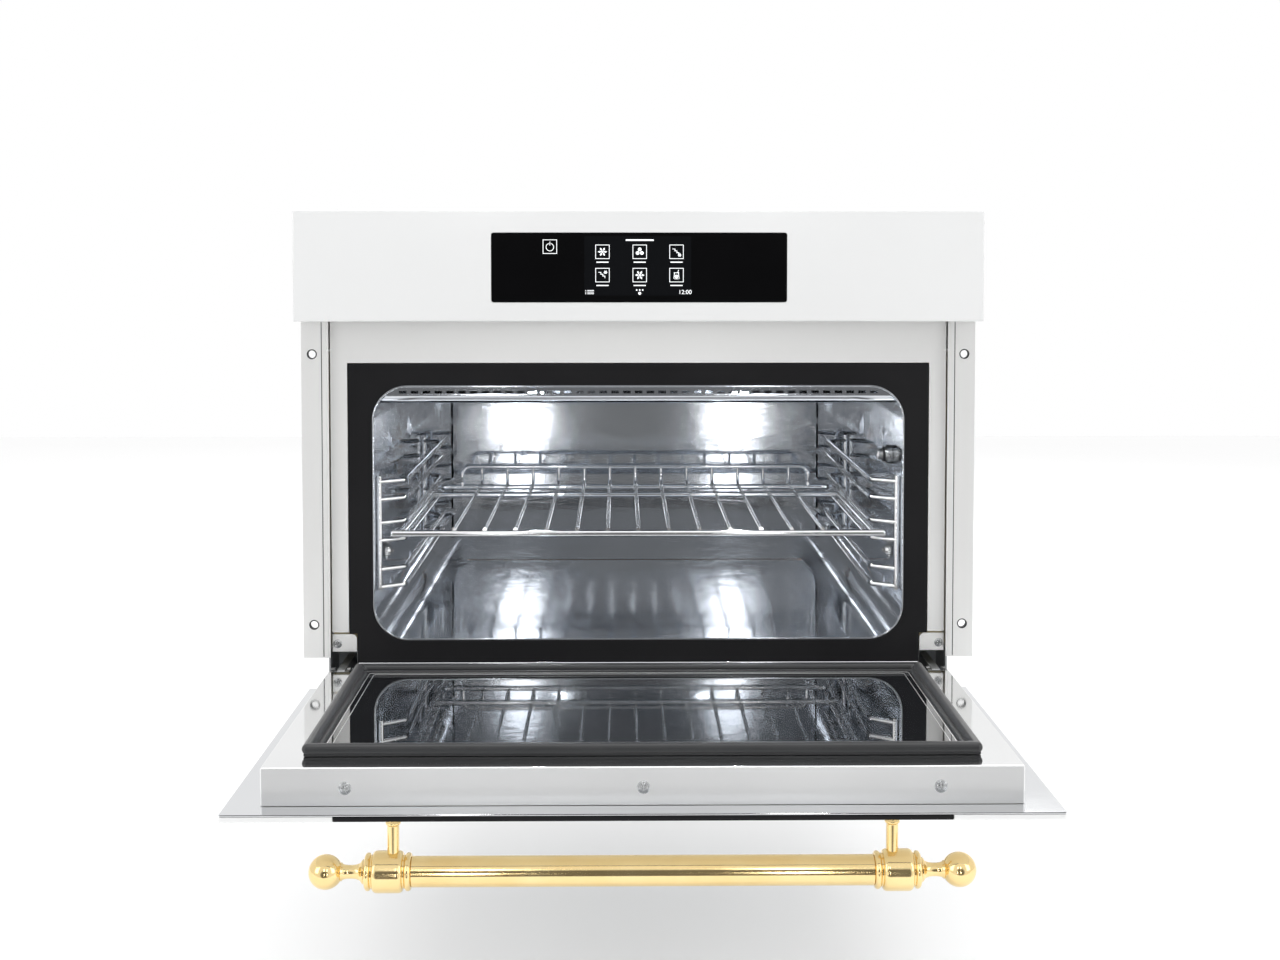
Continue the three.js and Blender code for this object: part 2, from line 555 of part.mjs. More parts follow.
// ---- hinges ----
function addHinges() {
  const pinRadius = 3;
  const pinAt = [0, pivot.depth, pivot.height];
  for (const side of [-1, 1]) {
    const box = cut(
      block(span(side, 250, 276.8), [46, 190], [34, 64]),
      block(span(side, 251.6, 275.2), [40, 200], [35.6, 70]),
    );
    const tongueRoot = block(span(side, 259, 266), [pivot.depth, 100], [37, 51]);
    const tongueNose = cylinder('x', 7, ...span(side, 259, 266), pinAt, 20);
    const webs = block(span(side, 251, 276), [90, 96], [35, 56]);
    const bore = cylinder('x', pinRadius + gap, -280, 280, pinAt, 16);
    add(cabinet, `hinge_housing_${sideName(side)}`,
      cut(joined(box, tongueRoot, tongueNose, webs), bore), galvanised);

    const cheeks = [[254, 257], [268, 271]].map(([a, b]) => joined(
      cylinder('x', 9, ...span(side, a, b), pinAt, 16),
      block(span(side, a, b), [15, 33.2], [pivot.height, 57.6]),
    ));
    const footPlate = block(span(side, 254, 271), [13, 33.2], [56, 57.6]);
    const pin = cylinder('x', pinRadius, ...span(side, 253, 272), pinAt, 12);
    add(doorLeaf, `hinge_arm_${sideName(side)}`, joined(cheeks, footPlate, pin), brushedSteel);
  }
}

// ---- door, drawn closed ----
function addDoor() {
  const { bottom, top, halfWidth, thickness } = door;
  const stripHalf = 218;
  const stripHeight = 4.4;
  const panelShape = roundedRect([-halfWidth, halfWidth], [bottom, top], 1.5);
  const recess = block([-stripHalf, stripHalf], [-1, thickness + 1], [top - stripHeight, top + 1]);
  const postHoles = both((side) =>
    cylinder('y', 2.4, -1, thickness + 1, [side * handle.postX, 0, handle.height], 12));
  const panel = slab('xz', panelShape, 0, thickness, { bevel: 0.8, curveSegments: 2 });
  add(doorLeaf, 'door_outer_panel', cut(panel, recess, postHoles), whiteEnamel);
  add(doorLeaf, 'door_edge_strip', block([-stripHalf + gap, stripHalf - gap], [gap, thickness - gap],
    [top - stripHeight + gap, top - gap]), blackPlastic);

  const skinBack = doorBox.front - gap;
  const skinShape = roundedRect([-halfWidth, halfWidth], [bottom, top], 1);
  add(doorLeaf, 'door_skin', slab('xz', skinShape, thickness + gap, skinBack), polishedSteel);

  const pan = (inset, from, to) => slab('xz', outline([
    [-doorNotch.inner + inset, doorBox.bottom + inset], [doorNotch.inner - inset, doorBox.bottom + inset],
    [doorNotch.inner - inset, doorNotch.top + inset], [doorBox.halfWidth - inset, doorNotch.top + inset],
    [doorBox.halfWidth - inset, doorBox.top - inset], [-doorBox.halfWidth + inset, doorBox.top - inset],
    [-doorBox.halfWidth + inset, doorNotch.top + inset], [-doorNotch.inner + inset, doorNotch.top + inset],
  ]), from, to);
  const { x: screwPlaces, depth: screwDepth } = doorScrews;
  const screwHoles = screwPlaces.map((x) =>
    turned('z', [[0, -12], [2.2, -12], [2.2, -2.5], [5.3, 1], [0, 1]], [x, screwDepth, doorBox.top], 16));
  add(doorLeaf, 'door_inner_box', cut(
    pan(0, doorBox.front, doorBox.face),
    pan(doorBox.wall, doorBox.front - 1, doorBox.face - doorBox.wall),
    screwHoles,
  ), polishedSteel);
  add(doorLeaf, 'door_insulation', cut(
    pan(doorBox.wall + gap, doorBox.front + gap, doorBox.face - doorBox.wall - gap), screwHoles,
  ), foam);
  screwPlaces.forEach((x, i) => {
    const crossHeights = [doorBox.top - 1.3, doorBox.top + 3];
    const cross = [
      block([x - 2.6, x + 2.6], [screwDepth - 0.4, screwDepth + 0.4], crossHeights),
      block([x - 0.4, x + 0.4], [screwDepth - 2.6, screwDepth + 2.6], crossHeights),
    ];
    const screw = turned('z', [[0, -10], [1.6, -9], [1.6, -2.6], [3.7, -0.4], [3.9, 0], [0, 0.3]],
      [x, screwDepth, doorBox.top], 16);
    add(doorLeaf, `door_screw_${['left', 'middle', 'right'][i]}`, cut(screw, cross), brushedSteel);
  });

  const ring = roundedRect([-gasket.halfWidth, gasket.halfWidth], [gasket.bottom, gasket.top], 3);
  const hollow = roundedRect([-gasket.halfWidth + gasket.bar, gasket.halfWidth - gasket.bar],
    [gasket.bottom + gasket.bar, gasket.top - gasket.bar], 2);
  add(doorLeaf, 'door_gasket', cut(
    slab('xz', ring, gasket.back, gasket.face, { bevel: 2.8, curveSegments: 2 }),
    slab('xz', hollow, gasket.back - 1, gasket.face + 1, { curveSegments: 2 }),
  ), rubber);

  const pane = roundedRect([-gasket.halfWidth + gasket.bar + 1, gasket.halfWidth - gasket.bar - 1],
    [gasket.bottom + gasket.bar + 1, gasket.top - gasket.bar - 1], 3);
  add(doorLeaf, 'door_inner_glass', slab('xz', pane, gasket.back, gasket.back + 3), blackGlass);
}

// ---- brass handle: tube, barrels with rings, ball finials, posts ----
function addHandle() {
  const centre = [0, -handle.standOff, handle.height];
  const tube = cylinder('x', handle.tubeRadius, -handle.tubeHalf, handle.tubeHalf, centre, 20);
  add(doorLeaf, 'handle_tube', tube, brass);
  const postRadius = 4.35;
  const postStart = -handle.standOff + 6.4;      // just inside the barrel
  const screwEnd = door.thickness - 0.2;         // the post's screw passes the outer panel
  const ballRadius = 12.5;
  const ballCentre = 230;
  for (const side of [-1, 1]) {
    const along = (profile) => (side > 0 ? profile : profile.map(([r, h]) => [r, -h]).reverse());
    const barrel = turned('x', along([
      [0, 168], [12.6, 168], [13.5, 169], [13.5, 171.5], [12.2, 172.6], [12.2, 173.6], [14.2, 175], [15, 177],
      [15, 193.5], [14.2, 195.4], [12.2, 196.6], [12.2, 197.4], [13.5, 198.4], [13.5, 200.8], [12.6, 201.6],
      [0, 201.6],
    ]), centre, 20);
    const postAt = [side * handle.postX, 0, handle.height];
    const socket = cylinder('y', postRadius + gap, postStart - 0.4, -gap, postAt, 16);
    add(doorLeaf, `handle_barrel_${sideName(side)}`, cut(barrel, socket), brass);

    const ball = Array.from({ length: 7 }, (_, i) => {
      const angle = Math.PI * (0.15 + (0.85 * i) / 6);
      return [i === 6 ? 0 : ballRadius * Math.sin(angle), ballCentre - ballRadius * Math.cos(angle)];
    });
    add(doorLeaf, `handle_finial_${sideName(side)}`,
      turned('x', along([[0, 202], [8.5, 202], [7.4, 203.4], [5.2, 207], [4.8, 212], [5.4, 217], ...ball]),
        centre, 18), brass);

    const stem = turned('y', [
      [0, postStart], [postRadius, postStart], [postRadius, -14], [5.1, -13.4], [5.1, -12], [postRadius, -11.4],
      [postRadius, -5], [5.6, -3.4], [5.6, -gap], [1.9, -gap], [1.9, screwEnd], [0, screwEnd],
    ], postAt, 16);
    add(doorLeaf, `handle_post_${sideName(side)}`, stem, brass);
  }
}

addCasing();
addFront();
addCavity();
addRackAndGuides();
addFascia();
addMachinery();
addEvaporatorFan();
addHinges();
addDoor();
addHandle();

export default appliance;
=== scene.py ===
import math
import bpy
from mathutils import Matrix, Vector


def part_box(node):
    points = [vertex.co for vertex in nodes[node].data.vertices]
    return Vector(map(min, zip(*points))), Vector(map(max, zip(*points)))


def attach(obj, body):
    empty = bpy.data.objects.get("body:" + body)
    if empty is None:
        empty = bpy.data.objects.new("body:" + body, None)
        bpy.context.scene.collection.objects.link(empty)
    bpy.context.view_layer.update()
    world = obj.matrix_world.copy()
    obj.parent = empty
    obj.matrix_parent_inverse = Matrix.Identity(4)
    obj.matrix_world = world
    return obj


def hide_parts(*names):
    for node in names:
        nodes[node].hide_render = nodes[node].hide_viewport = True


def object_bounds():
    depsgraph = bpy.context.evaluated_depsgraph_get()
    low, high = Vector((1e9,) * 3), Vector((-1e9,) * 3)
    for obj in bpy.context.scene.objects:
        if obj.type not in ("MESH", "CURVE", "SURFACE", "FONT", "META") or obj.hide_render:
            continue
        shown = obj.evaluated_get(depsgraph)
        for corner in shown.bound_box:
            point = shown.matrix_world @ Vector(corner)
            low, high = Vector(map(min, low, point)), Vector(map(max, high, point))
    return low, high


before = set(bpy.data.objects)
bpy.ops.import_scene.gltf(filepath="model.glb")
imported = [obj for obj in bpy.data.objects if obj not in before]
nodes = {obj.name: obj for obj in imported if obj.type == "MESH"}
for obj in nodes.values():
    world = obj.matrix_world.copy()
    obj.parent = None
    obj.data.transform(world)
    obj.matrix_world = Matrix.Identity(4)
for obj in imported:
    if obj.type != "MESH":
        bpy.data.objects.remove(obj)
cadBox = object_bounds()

fasciaLow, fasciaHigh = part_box("fascia")
frontFace = fasciaLow.y                    # depths in the cavity are measured back from here
up = Vector((0, 0, 1))
right = Vector((1, 0, 0))
back = Vector((0, 1, 0))

near = 0.0001                              # places closer than this count as the same
past = 0.01                                # how far a cutting block reaches past the piece it cuts
mergeDistance = 0.000005


def makeCamera():
    s = {"distance": 1.4524, "aside": -0.0164, "height": 0.412, "lens": 47.51, "pitchDown": 2.686,
         "yaw": -0.672, "shift": -0.11, "clipStart": 0.05}
    data = bpy.data.cameras.new("camera")
    data.lens = s["lens"]
    data.shift_y = s["shift"]
    data.clip_start = s["clipStart"]
    camera = bpy.data.objects.new("camera", data)
    bpy.context.scene.collection.objects.link(camera)
    camera.location = (s["aside"], frontFace - s["distance"], s["height"])
    camera.rotation_euler = (math.radians(90 - s["pitchDown"]), 0, math.radians(s["yaw"]))
    bpy.context.scene.camera = camera


class Value:                               # a socket whose expressions add Math nodes
    def __init__(self, look, socket):
        self.look = look
        self.socket = socket

    def math(self, operation, first, second):
        return self.look.node("ShaderNodeMath", {"operation": operation}, {0: first, 1: second})

    def __add__(self, other):
        return self.math("ADD", self, other)

    def __radd__(self, other):
        return self.math("ADD", other, self)

    def __sub__(self, other):
        return self.math("SUBTRACT", self, other)

    def __rsub__(self, other):
        return self.math("SUBTRACT", other, self)

    def __mul__(self, other):
        return self.math("MULTIPLY", self, other)

    def __rmul__(self, other):
        return self.math("MULTIPLY", other, self)

    def above(self, other):
        return self.math("GREATER_THAN", self, other)


class Graph:                               # a node tree that is filled one node at a time
    def __init__(self, tree):
        self.tree = tree

    def node(self, kind, settings, inputs, output=0):
        made = self.tree.nodes.new(kind)
        for key, value in settings.items():
            if key == "stops":
                for stop, (place, colour) in zip(made.color_ramp.elements, value):
                    stop.position = place
                    stop.color = colour
            else:
                setattr(made, key, value)
        for key, value in inputs.items():
            self.feed(made.inputs[key], value)
        return Value(self, made.outputs[output])

    def feed(self, socket, value):
        if isinstance(value, Value):
            self.tree.links.new(value.socket, socket)
        else:
            socket.default_value = value


class Look(Graph):                         # one material and the record slot it belongs to
    def __init__(self, name, slot, fixed):
        self.slot = slot
        self.material = bpy.data.materials.new(name)
        self.material.use_nodes = True
        super().__init__(self.material.node_tree)
        self.shader = self.tree.nodes["Principled BSDF"]
        for socket, value in fixed.items():
            self.shader.inputs[socket].default_value = value

    def drive(self, name, value):
        self.feed(self.shader.inputs[name], value)

    def place(self, scale=(1, 1, 1)):      # the piece's own coordinates, stretched for grain
        coords = self.node("ShaderNodeTexCoord", {}, {}, "Object")
        return self.node("ShaderNodeMapping", {}, {"Vector": coords, "Scale": scale}, "Vector")

    def noise(self, scale, detail=2.0, stretch=(1, 1, 1)):
        return self.node("ShaderNodeTexNoise", {}, {
            "Vector": self.place(stretch), "Scale": scale, "Detail": detail}, "Fac")

    def mix(self, factor, first, second):
        return self.node("ShaderNodeMix", {"data_type": "RGBA"}, {
            0: factor, 6: (*first, 1), 7: (*second, 1)}, 2)

    def bump(self, height, strength, distance):
        normal = self.node("ShaderNodeBump", {}, {
            "Height": height, "Strength": strength, "Distance": distance}, "Normal")
        self.drive("Normal", normal)


lightSettings = {
    "paper": (1.0, 1.0, 1.0), "fill": 1.0, "hollow": 0.16, "hollowFrom": 0.86, "hollowTo": 0.955,
    "floorDrop": 0.20, "floorLow": (-3.0, -1.15), "floorHigh": (3.0, 4.5), "floorGrey": 0.97,
    "floorRough": 0.9,
    "lamps": [
        # name, place, aimed at, width and height, power
        ("topSoftbox", (0.0, -0.6, 2.2), (0, -0.1, 0.2), (2.4, 1.2), 16),
        ("leftSoftbox", (-1.9, -1.7, 1.0), (0, -0.3, 0.2), (1.0, 1.8), 9),
        ("rightSoftbox", (1.9, -1.7, 1.0), (0, -0.3, 0.2), (1.0, 1.8), 9),
        ("rearSoftbox", (0.4, 2.6, 1.9), (0, 0.2, 0.2), (1.6, 1.6), 18),
        ("leftLowStrip", (-0.25, -1.90, -0.06), (-0.12, 0.12, 0.20), (0.06, 0.34), 0.45),
        ("rightLowStrip", (0.24, -1.90, -0.06), (0.12, 0.12, 0.20), (0.06, 0.34), 0.45),
        ("leftHighStrip", (-0.25, -1.90, 0.70), (-0.12, 0.12, 0.20), (0.07, 0.36), 0.55),
        ("rightHighStrip", (0.24, -1.90, 0.70), (0.12, 0.12, 0.20), (0.07, 0.36), 0.55),
        ("leftSpark", (-0.245, -1.88, 0.03), (-0.12, 0.12, 0.22), (0.03, 0.03), 0.12),
        ("rightSpark", (0.250, -1.88, 0.045), (0.11, 0.12, 0.23), (0.03, 0.03), 0.12),
    ],
}


def makeWorld():                           # white paper all round, with a darker patch in front of the mouth
    s = lightSettings
    world = bpy.data.worlds.new("studio")
    world.use_nodes = True
    bpy.context.scene.world = world
    graph = Graph(world.node_tree)
    way = graph.node("ShaderNodeTexCoord", {}, {}, "Generated")
    ahead = graph.node("ShaderNodeVectorMath", {"operation": "DOT_PRODUCT"}, {0: way, 1: -back}, "Value")
    patch = graph.node("ShaderNodeMapRange", {"interpolation_type": "SMOOTHSTEP"}, {
        "Value": ahead, "From Min": s["hollowFrom"], "From Max": s["hollowTo"],
        "To Min": s["fill"], "To Max": s["hollow"]})
    seen = graph.node("ShaderNodeLightPath", {}, {}, "Is Camera Ray")
    strength = seen + (1 - seen) * patch
    sky = world.node_tree.nodes["Background"]
    sky.inputs["Color"].default_value = (*s["paper"], 1)
    graph.feed(sky.inputs["Strength"], strength)


def makeLight():
    makeWorld()
    for name, place, target, (width, height), power in lightSettings["lamps"]:
        data = bpy.data.lights.new(name, "AREA")
        data.shape = "RECTANGLE"
        data.size = width
        data.size_y = height
        data.energy = power
        lamp = bpy.data.objects.new(name, data)
        lamp.location = place
        lamp.rotation_euler = (Vector(target) - Vector(place)).to_track_quat("-Z", "Y").to_euler()
        bpy.context.scene.collection.objects.link(lamp)
    bpy.context.scene.view_settings.view_transform = "Standard"


def makeFloor():
    s = lightSettings
    drop = cadBox[0].z - s["floorDrop"]
    (x0, y0), (x1, y1) = s["floorLow"], s["floorHigh"]
    bpy.ops.mesh.primitive_plane_add(size=1, location=((x0 + x1) / 2, (y0 + y1) / 2, drop))
    floor = bpy.context.object
    floor.scale = (x1 - x0, y1 - y0, 1)
    floor.name = "studioFloor"
    material = bpy.data.materials.new("palePaper")
    material.use_nodes = True
    shader = material.node_tree.nodes["Principled BSDF"]
    shader.inputs["Base Color"].default_value = (s["floorGrey"], s["floorGrey"], s["floorGrey"], 1)
    shader.inputs["Roughness"].default_value = s["floorRough"]
    floor.data.materials.append(material)


looks = {}


def steelLook(name, slot, s):              # polished or brushed metal with grain and faint smudges
    look = Look(name, slot, {"Metallic": 1.0, "Anisotropic": s.get("brushed", 0.0)})
    smudge = look.noise(s["smudgeScale"], detail=3.0)
    grain = look.noise(s["grainScale"], stretch=s["grainStretch"])
    look.drive("Base Color", look.mix(smudge, s["dark"], s["light"]))
    look.drive("Roughness", s["rough"] + smudge * s["smudge"] + grain * s["grain"])
    look.bump(grain + look.noise(s["waveScale"], detail=1.0) * s["wave"], s["bump"], s["bumpDepth"])
    looks[name] = look


def makeMetals():
    steelLook("mirrorSteel", "polished_steel", {
        "dark": (0.66, 0.67, 0.69), "light": (0.74, 0.75, 0.76), "rough": 0.04, "smudge": 0.04, "grain": 0.02,
        "smudgeScale": 9, "grainScale": 60, "grainStretch": (1, 1, 30), "waveScale": 5, "wave": 1.5,
        "bump": 0.03, "bumpDepth": 0.0006})
    steelLook("cavitySteel", "polished_steel", {
        "dark": (0.66, 0.70, 0.76), "light": (0.82, 0.85, 0.89), "rough": 0.04, "smudge": 0.06, "grain": 0.03,
        "smudgeScale": 7, "grainScale": 50, "grainStretch": (1, 1, 4), "waveScale": 5, "wave": 2.5,
        "bump": 0.07, "bumpDepth": 0.0008, "brushed": 0.35})
    steelLook("frontSteel", "brushed_steel", {
        "dark": (0.93, 0.93, 0.92), "light": (0.98, 0.98, 0.97), "rough": 0.38, "smudge": 0.04, "grain": 0.04,
        "smudgeScale": 5, "grainScale": 90, "grainStretch": (0.3, 6, 12), "waveScale": 6, "wave": 0.3,
        "bump": 0.02, "bumpDepth": 0.0002})
    steelLook("zincSteel", "brushed_steel", {
        "dark": (0.34, 0.35, 0.36), "light": (0.52, 0.53, 0.53), "rough": 0.18, "smudge": 0.12, "grain": 0.05,
        "smudgeScale": 90, "grainScale": 900, "grainStretch": (1, 1, 1), "waveScale": 60, "wave": 0.5,
        "bump": 0.05, "bumpDepth": 0.0002})
    steelLook("chromedWire", "wire_chrome", {
        "dark": (0.68, 0.69, 0.70), "light": (0.86, 0.87, 0.88), "rough": 0.06, "smudge": 0.08, "grain": 0.03,
        "smudgeScale": 40, "grainScale": 400, "grainStretch": (1, 1, 1), "waveScale": 30, "wave": 0.6,
        "bump": 0.04, "bumpDepth": 0.0002})
    steelLook("polishedBrass", "brass", {
        "dark": (0.83, 0.60, 0.26), "light": (0.95, 0.77, 0.42), "rough": 0.07, "smudge": 0.07, "grain": 0.03,
        "smudgeScale": 30, "grainScale": 500, "grainStretch": (3, 1, 1), "waveScale": 20, "wave": 0.5,
        "bump": 0.035, "bumpDepth": 0.0003})
    steelLook("copperTube", "copper", {
        "dark": (0.52, 0.27, 0.16), "light": (0.80, 0.47, 0.32), "rough": 0.22, "smudge": 0.18, "grain": 0.05,
        "smudgeScale": 35, "grainScale": 300, "grainStretch": (1, 1, 1), "waveScale": 30, "wave": 0.5,
        "bump": 0.05, "bumpDepth": 0.0003})


def panLook():                             # door pan: mirror finish on the face, satin on the drawn sides
    s = {"dark": (0.78, 0.785, 0.79), "light": (0.86, 0.865, 0.865), "mirror": 0.04, "satin": 0.34,
         "edge": 0.0006, "smudgeScale": 8, "smudge": 0.05, "waveScale": 6, "bump": 0.03, "bumpDepth": 0.0006}
    look = Look("panSteel", "polished_steel", {"Metallic": 1.0})
    coords = look.node("ShaderNodeTexCoord", {}, {}, "Object")
    height = look.node("ShaderNodeSeparateXYZ", {}, {"Vector": coords}, "Z")
    face = height.above(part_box("door_inner_box")[1].z - s["edge"])
    smudge = look.noise(s["smudgeScale"], detail=3.0)
    look.drive("Base Color", look.mix(smudge, s["dark"], s["light"]))
    look.drive("Roughness", s["satin"] - face * (s["satin"] - s["mirror"]) + smudge * s["smudge"])
    look.bump(look.noise(s["waveScale"], detail=1.0), s["bump"], s["bumpDepth"])
    looks["panSteel"] = look


def galvanisedLook():                      # zinc sheet: crystals of slightly different grey
    s = {"crystals": 120, "dark": (0.36, 0.375, 0.385), "light": (0.50, 0.515, 0.525), "rough": 0.34,
         "change": 0.14, "metallic": 0.92, "cloudScale": 11, "cloud": 0.3, "bump": 0.05, "bumpDepth": 0.0003}
    look = Look("galvanisedSheet", "galvanised", {"Metallic": s["metallic"]})
    crystal = look.node("ShaderNodeTexVoronoi", {}, {"Vector": look.place(), "Scale": s["crystals"]}, "Color")
    shade = look.node("ShaderNodeSeparateColor", {}, {"Color": crystal}, 0)
    cloud = look.noise(s["cloudScale"], detail=3.0)
    look.drive("Base Color", look.mix(shade * (1 - s["cloud"]) + cloud * s["cloud"], s["dark"], s["light"]))
    look.drive("Roughness", s["rough"] + shade * s["change"])
    look.bump(shade, s["bump"], s["bumpDepth"])
    looks["galvanisedSheet"] = look


def plainLook(name, slot, s, fixed):       # enamel, plastics, rubber, foam: mottled colour, skin and gloss
    look = Look(name, slot, fixed)
    mottle = look.noise(s["mottleScale"], detail=3.0)
    skin = look.noise(s["skinScale"])
    look.drive("Base Color", look.mix(mottle, s["dark"], s["light"]))
    look.drive("Roughness", s["rough"] + mottle * s["mottle"])
    look.bump(skin, s["bump"], s["bumpDepth"])
    looks[name] = look


def makePlainLooks():
    plainLook("whiteEnamel", "white_enamel", {
        "dark": (0.76, 0.765, 0.765), "light": (0.80, 0.805, 0.805), "rough": 0.14, "mottle": 0.05,
        "mottleScale": 8, "skinScale": 350, "bump": 0.02, "bumpDepth": 0.0003},
        {"Coat Weight": 0.6, "Coat Roughness": 0.04, "Specular IOR Level": 0.55})
    plainLook("blackFrame", "black_plastic", {
        "dark": (0.006, 0.006, 0.007), "light": (0.013, 0.013, 0.014), "rough": 0.42, "mottle": 0.12,
        "mottleScale": 14, "skinScale": 1600, "bump": 0.08, "bumpDepth": 0.0002}, {"Specular IOR Level": 0.14})
    plainLook("controlGlass", "black_glass", {
        "dark": (0.002, 0.002, 0.0022), "light": (0.004, 0.004, 0.0045), "rough": 0.02, "mottle": 0.03,
        "mottleScale": 18, "skinScale": 60, "bump": 0.01, "bumpDepth": 0.0002}, {"Specular IOR Level": 0.08})
    plainLook("screenGlass", "black_glass", {
        "dark": (0.004, 0.0045, 0.0055), "light": (0.006, 0.0065, 0.0075), "rough": 0.10, "mottle": 0.03,
        "mottleScale": 18, "skinScale": 900, "bump": 0.01, "bumpDepth": 0.0001}, {"Specular IOR Level": 0.10})
    plainLook("doorGlass", "black_glass", {
        "dark": (0.006, 0.007, 0.008), "light": (0.012, 0.013, 0.015), "rough": 0.015, "mottle": 0.03,
        "mottleScale": 10, "skinScale": 12, "bump": 0.01, "bumpDepth": 0.0004}, {"IOR": 4.6})
    plainLook("gasketRubber", "gasket_rubber", {
        "dark": (0.012, 0.0125, 0.014), "light": (0.024, 0.025, 0.027), "rough": 0.30, "mottle": 0.12,
        "mottleScale": 30, "skinScale": 1400, "bump": 0.10, "bumpDepth": 0.0002},
        {"Sheen Weight": 0.15, "Sheen Roughness": 0.4})
    plainLook("foamBoard", "foam", {
        "dark": (0.66, 0.55, 0.33), "light": (0.85, 0.76, 0.52), "rough": 0.85, "mottle": 0.1,
        "mottleScale": 26, "skinScale": 500, "bump": 0.5, "bumpDepth": 0.0008}, {})
    plainLook("circuitGreen", "circuit_board", {
        "dark": (0.010, 0.10, 0.045), "light": (0.02, 0.17, 0.08), "rough": 0.35, "mottle": 0.2,
        "mottleScale": 160, "skinScale": 700, "bump": 0.2, "bumpDepth": 0.0004}, {})
    plainLook("stoveBlack", "motor_black", {
        "dark": (0.012, 0.012, 0.013), "light": (0.03, 0.03, 0.032), "rough": 0.35, "mottle": 0.15,
        "mottleScale": 25, "skinScale": 500, "bump": 0.12, "bumpDepth": 0.0004}, {"Coat Weight": 0.2})
    plainLook("fanPlastic", "black_plastic", {
        "dark": (0.014, 0.014, 0.015), "light": (0.028, 0.028, 0.030), "rough": 0.5, "mottle": 0.1,
        "mottleScale": 30, "skinScale": 900, "bump": 0.1, "bumpDepth": 0.0002}, {})
    plainLook("lampFrost", "lamp_lens", {
        "dark": (0.90, 0.93, 0.95), "light": (0.97, 0.98, 1.0), "rough": 0.3, "mottle": 0.1,
        "mottleScale": 80, "skinScale": 900, "bump": 0.1, "bumpDepth": 0.0002},
        {"Emission Color": (0.93, 0.97, 1.0, 1), "Emission Strength": 260.0})
    plainLook("iconWhite", "black_glass", {
        "dark": (0.75, 0.77, 0.78), "light": (0.85, 0.86, 0.87), "rough": 0.4, "mottle": 0.1,
        "mottleScale": 300, "skinScale": 900, "bump": 0.02, "bumpDepth": 0.0001},
        {"Emission Color": (0.9, 0.93, 0.95, 1), "Emission Strength": 0.65})


def only(piece):
    if bpy.context.object and bpy.context.object.mode != "OBJECT":
        bpy.ops.object.mode_set(mode="OBJECT")
    bpy.ops.object.select_all(action="DESELECT")
    piece.select_set(True)
    bpy.context.view_layer.objects.active = piece


def fixPlace(piece):
    only(piece)
    bpy.ops.object.transform_apply(location=True, rotation=True, scale=True)


def pick(piece, kind, test):               # leaves edit mode open with the tested parts selected
    only(piece)
    bpy.ops.object.mode_set(mode="EDIT")
    bpy.ops.mesh.select_mode(type=kind)
    bpy.ops.mesh.select_all(action="DESELECT")
    bpy.ops.object.mode_set(mode="OBJECT")
    for part in {"VERT": piece.data.vertices, "EDGE": piece.data.edges, "FACE": piece.data.polygons}[kind]:
        part.select = test(part)
    bpy.ops.object.mode_set(mode="EDIT")


def ends(piece, edge):
    return [piece.data.vertices[i].co for i in edge.vertices]


def alongAxis(piece, axis, where=lambda middle: True):   # a test for edges that run along an axis
    def test(edge):
        a, b = ends(piece, edge)
        run = (b - a).normalized()
        return abs(run[axis]) > 0.999 and where((a + b) / 2)
    return test


def boxPiece(low, high):
    low, high = Vector(low), Vector(high)
    bpy.ops.mesh.primitive_cube_add(size=1, location=(low + high) / 2)
    piece = bpy.context.object
    piece.scale = high - low
    fixPlace(piece)
    return piece


def bevelEdges(piece, test, width, segments):
    pick(piece, "EDGE", test)
    bpy.ops.mesh.bevel(offset=width, segments=segments, affect="EDGES")
    only(piece)
    return piece


def roundedPrism(low, high, axis, radius, segments):
    piece = boxPiece(low, high)
    return bevelEdges(piece, alongAxis(piece, axis), radius, segments)


def combine(piece, tool, operation="DIFFERENCE"):
    only(piece)
    change = piece.modifiers.new("join", "BOOLEAN")
    change.object = tool
    change.operation = operation
    change.solver = "EXACT"
    bpy.ops.object.modifier_apply(modifier=change.name)
    bpy.data.objects.remove(tool)
    return piece


def soften(piece, width, segments=2, angle=35):   # a small rounded edge wherever faces meet sharply
    only(piece)
    change = piece.modifiers.new("soften", "BEVEL")
    change.width = width
    change.segments = segments
    change.limit_method = "ANGLE"
    change.angle_limit = math.radians(angle)
    bpy.ops.object.modifier_apply(modifier=change.name)
    return piece


def tidyMesh(piece):
    only(piece)
    bpy.ops.object.mode_set(mode="EDIT")
    bpy.ops.mesh.select_all(action="SELECT")
    bpy.ops.mesh.remove_doubles(threshold=mergeDistance)
    bpy.ops.mesh.normals_make_consistent(inside=False)
    only(piece)
    return piece


def copyOfNode(node):                      # a merged, flat-faced copy of a CAD solid, to be refined
    piece = nodes[node].copy()
    piece.data = nodes[node].data.copy()
    bpy.context.scene.collection.objects.link(piece)
    piece.parent = None
    for key in list(piece.keys()):
        del piece[key]                     # the copy starts without the node's labels
    only(piece)
    bpy.ops.object.mode_set(mode="EDIT")
    bpy.ops.mesh.select_all(action="SELECT")
    bpy.ops.mesh.remove_doubles(threshold=mergeDistance)
    bpy.ops.mesh.dissolve_limited(angle_limit=math.radians(0.5))
    only(piece)
    if piece.data.has_custom_normals:
        bpy.ops.mesh.customdata_custom_splitnormals_clear()
    return piece


def acrossOf(axis):
    return back if abs(axis.dot(up)) > 0.5 else up


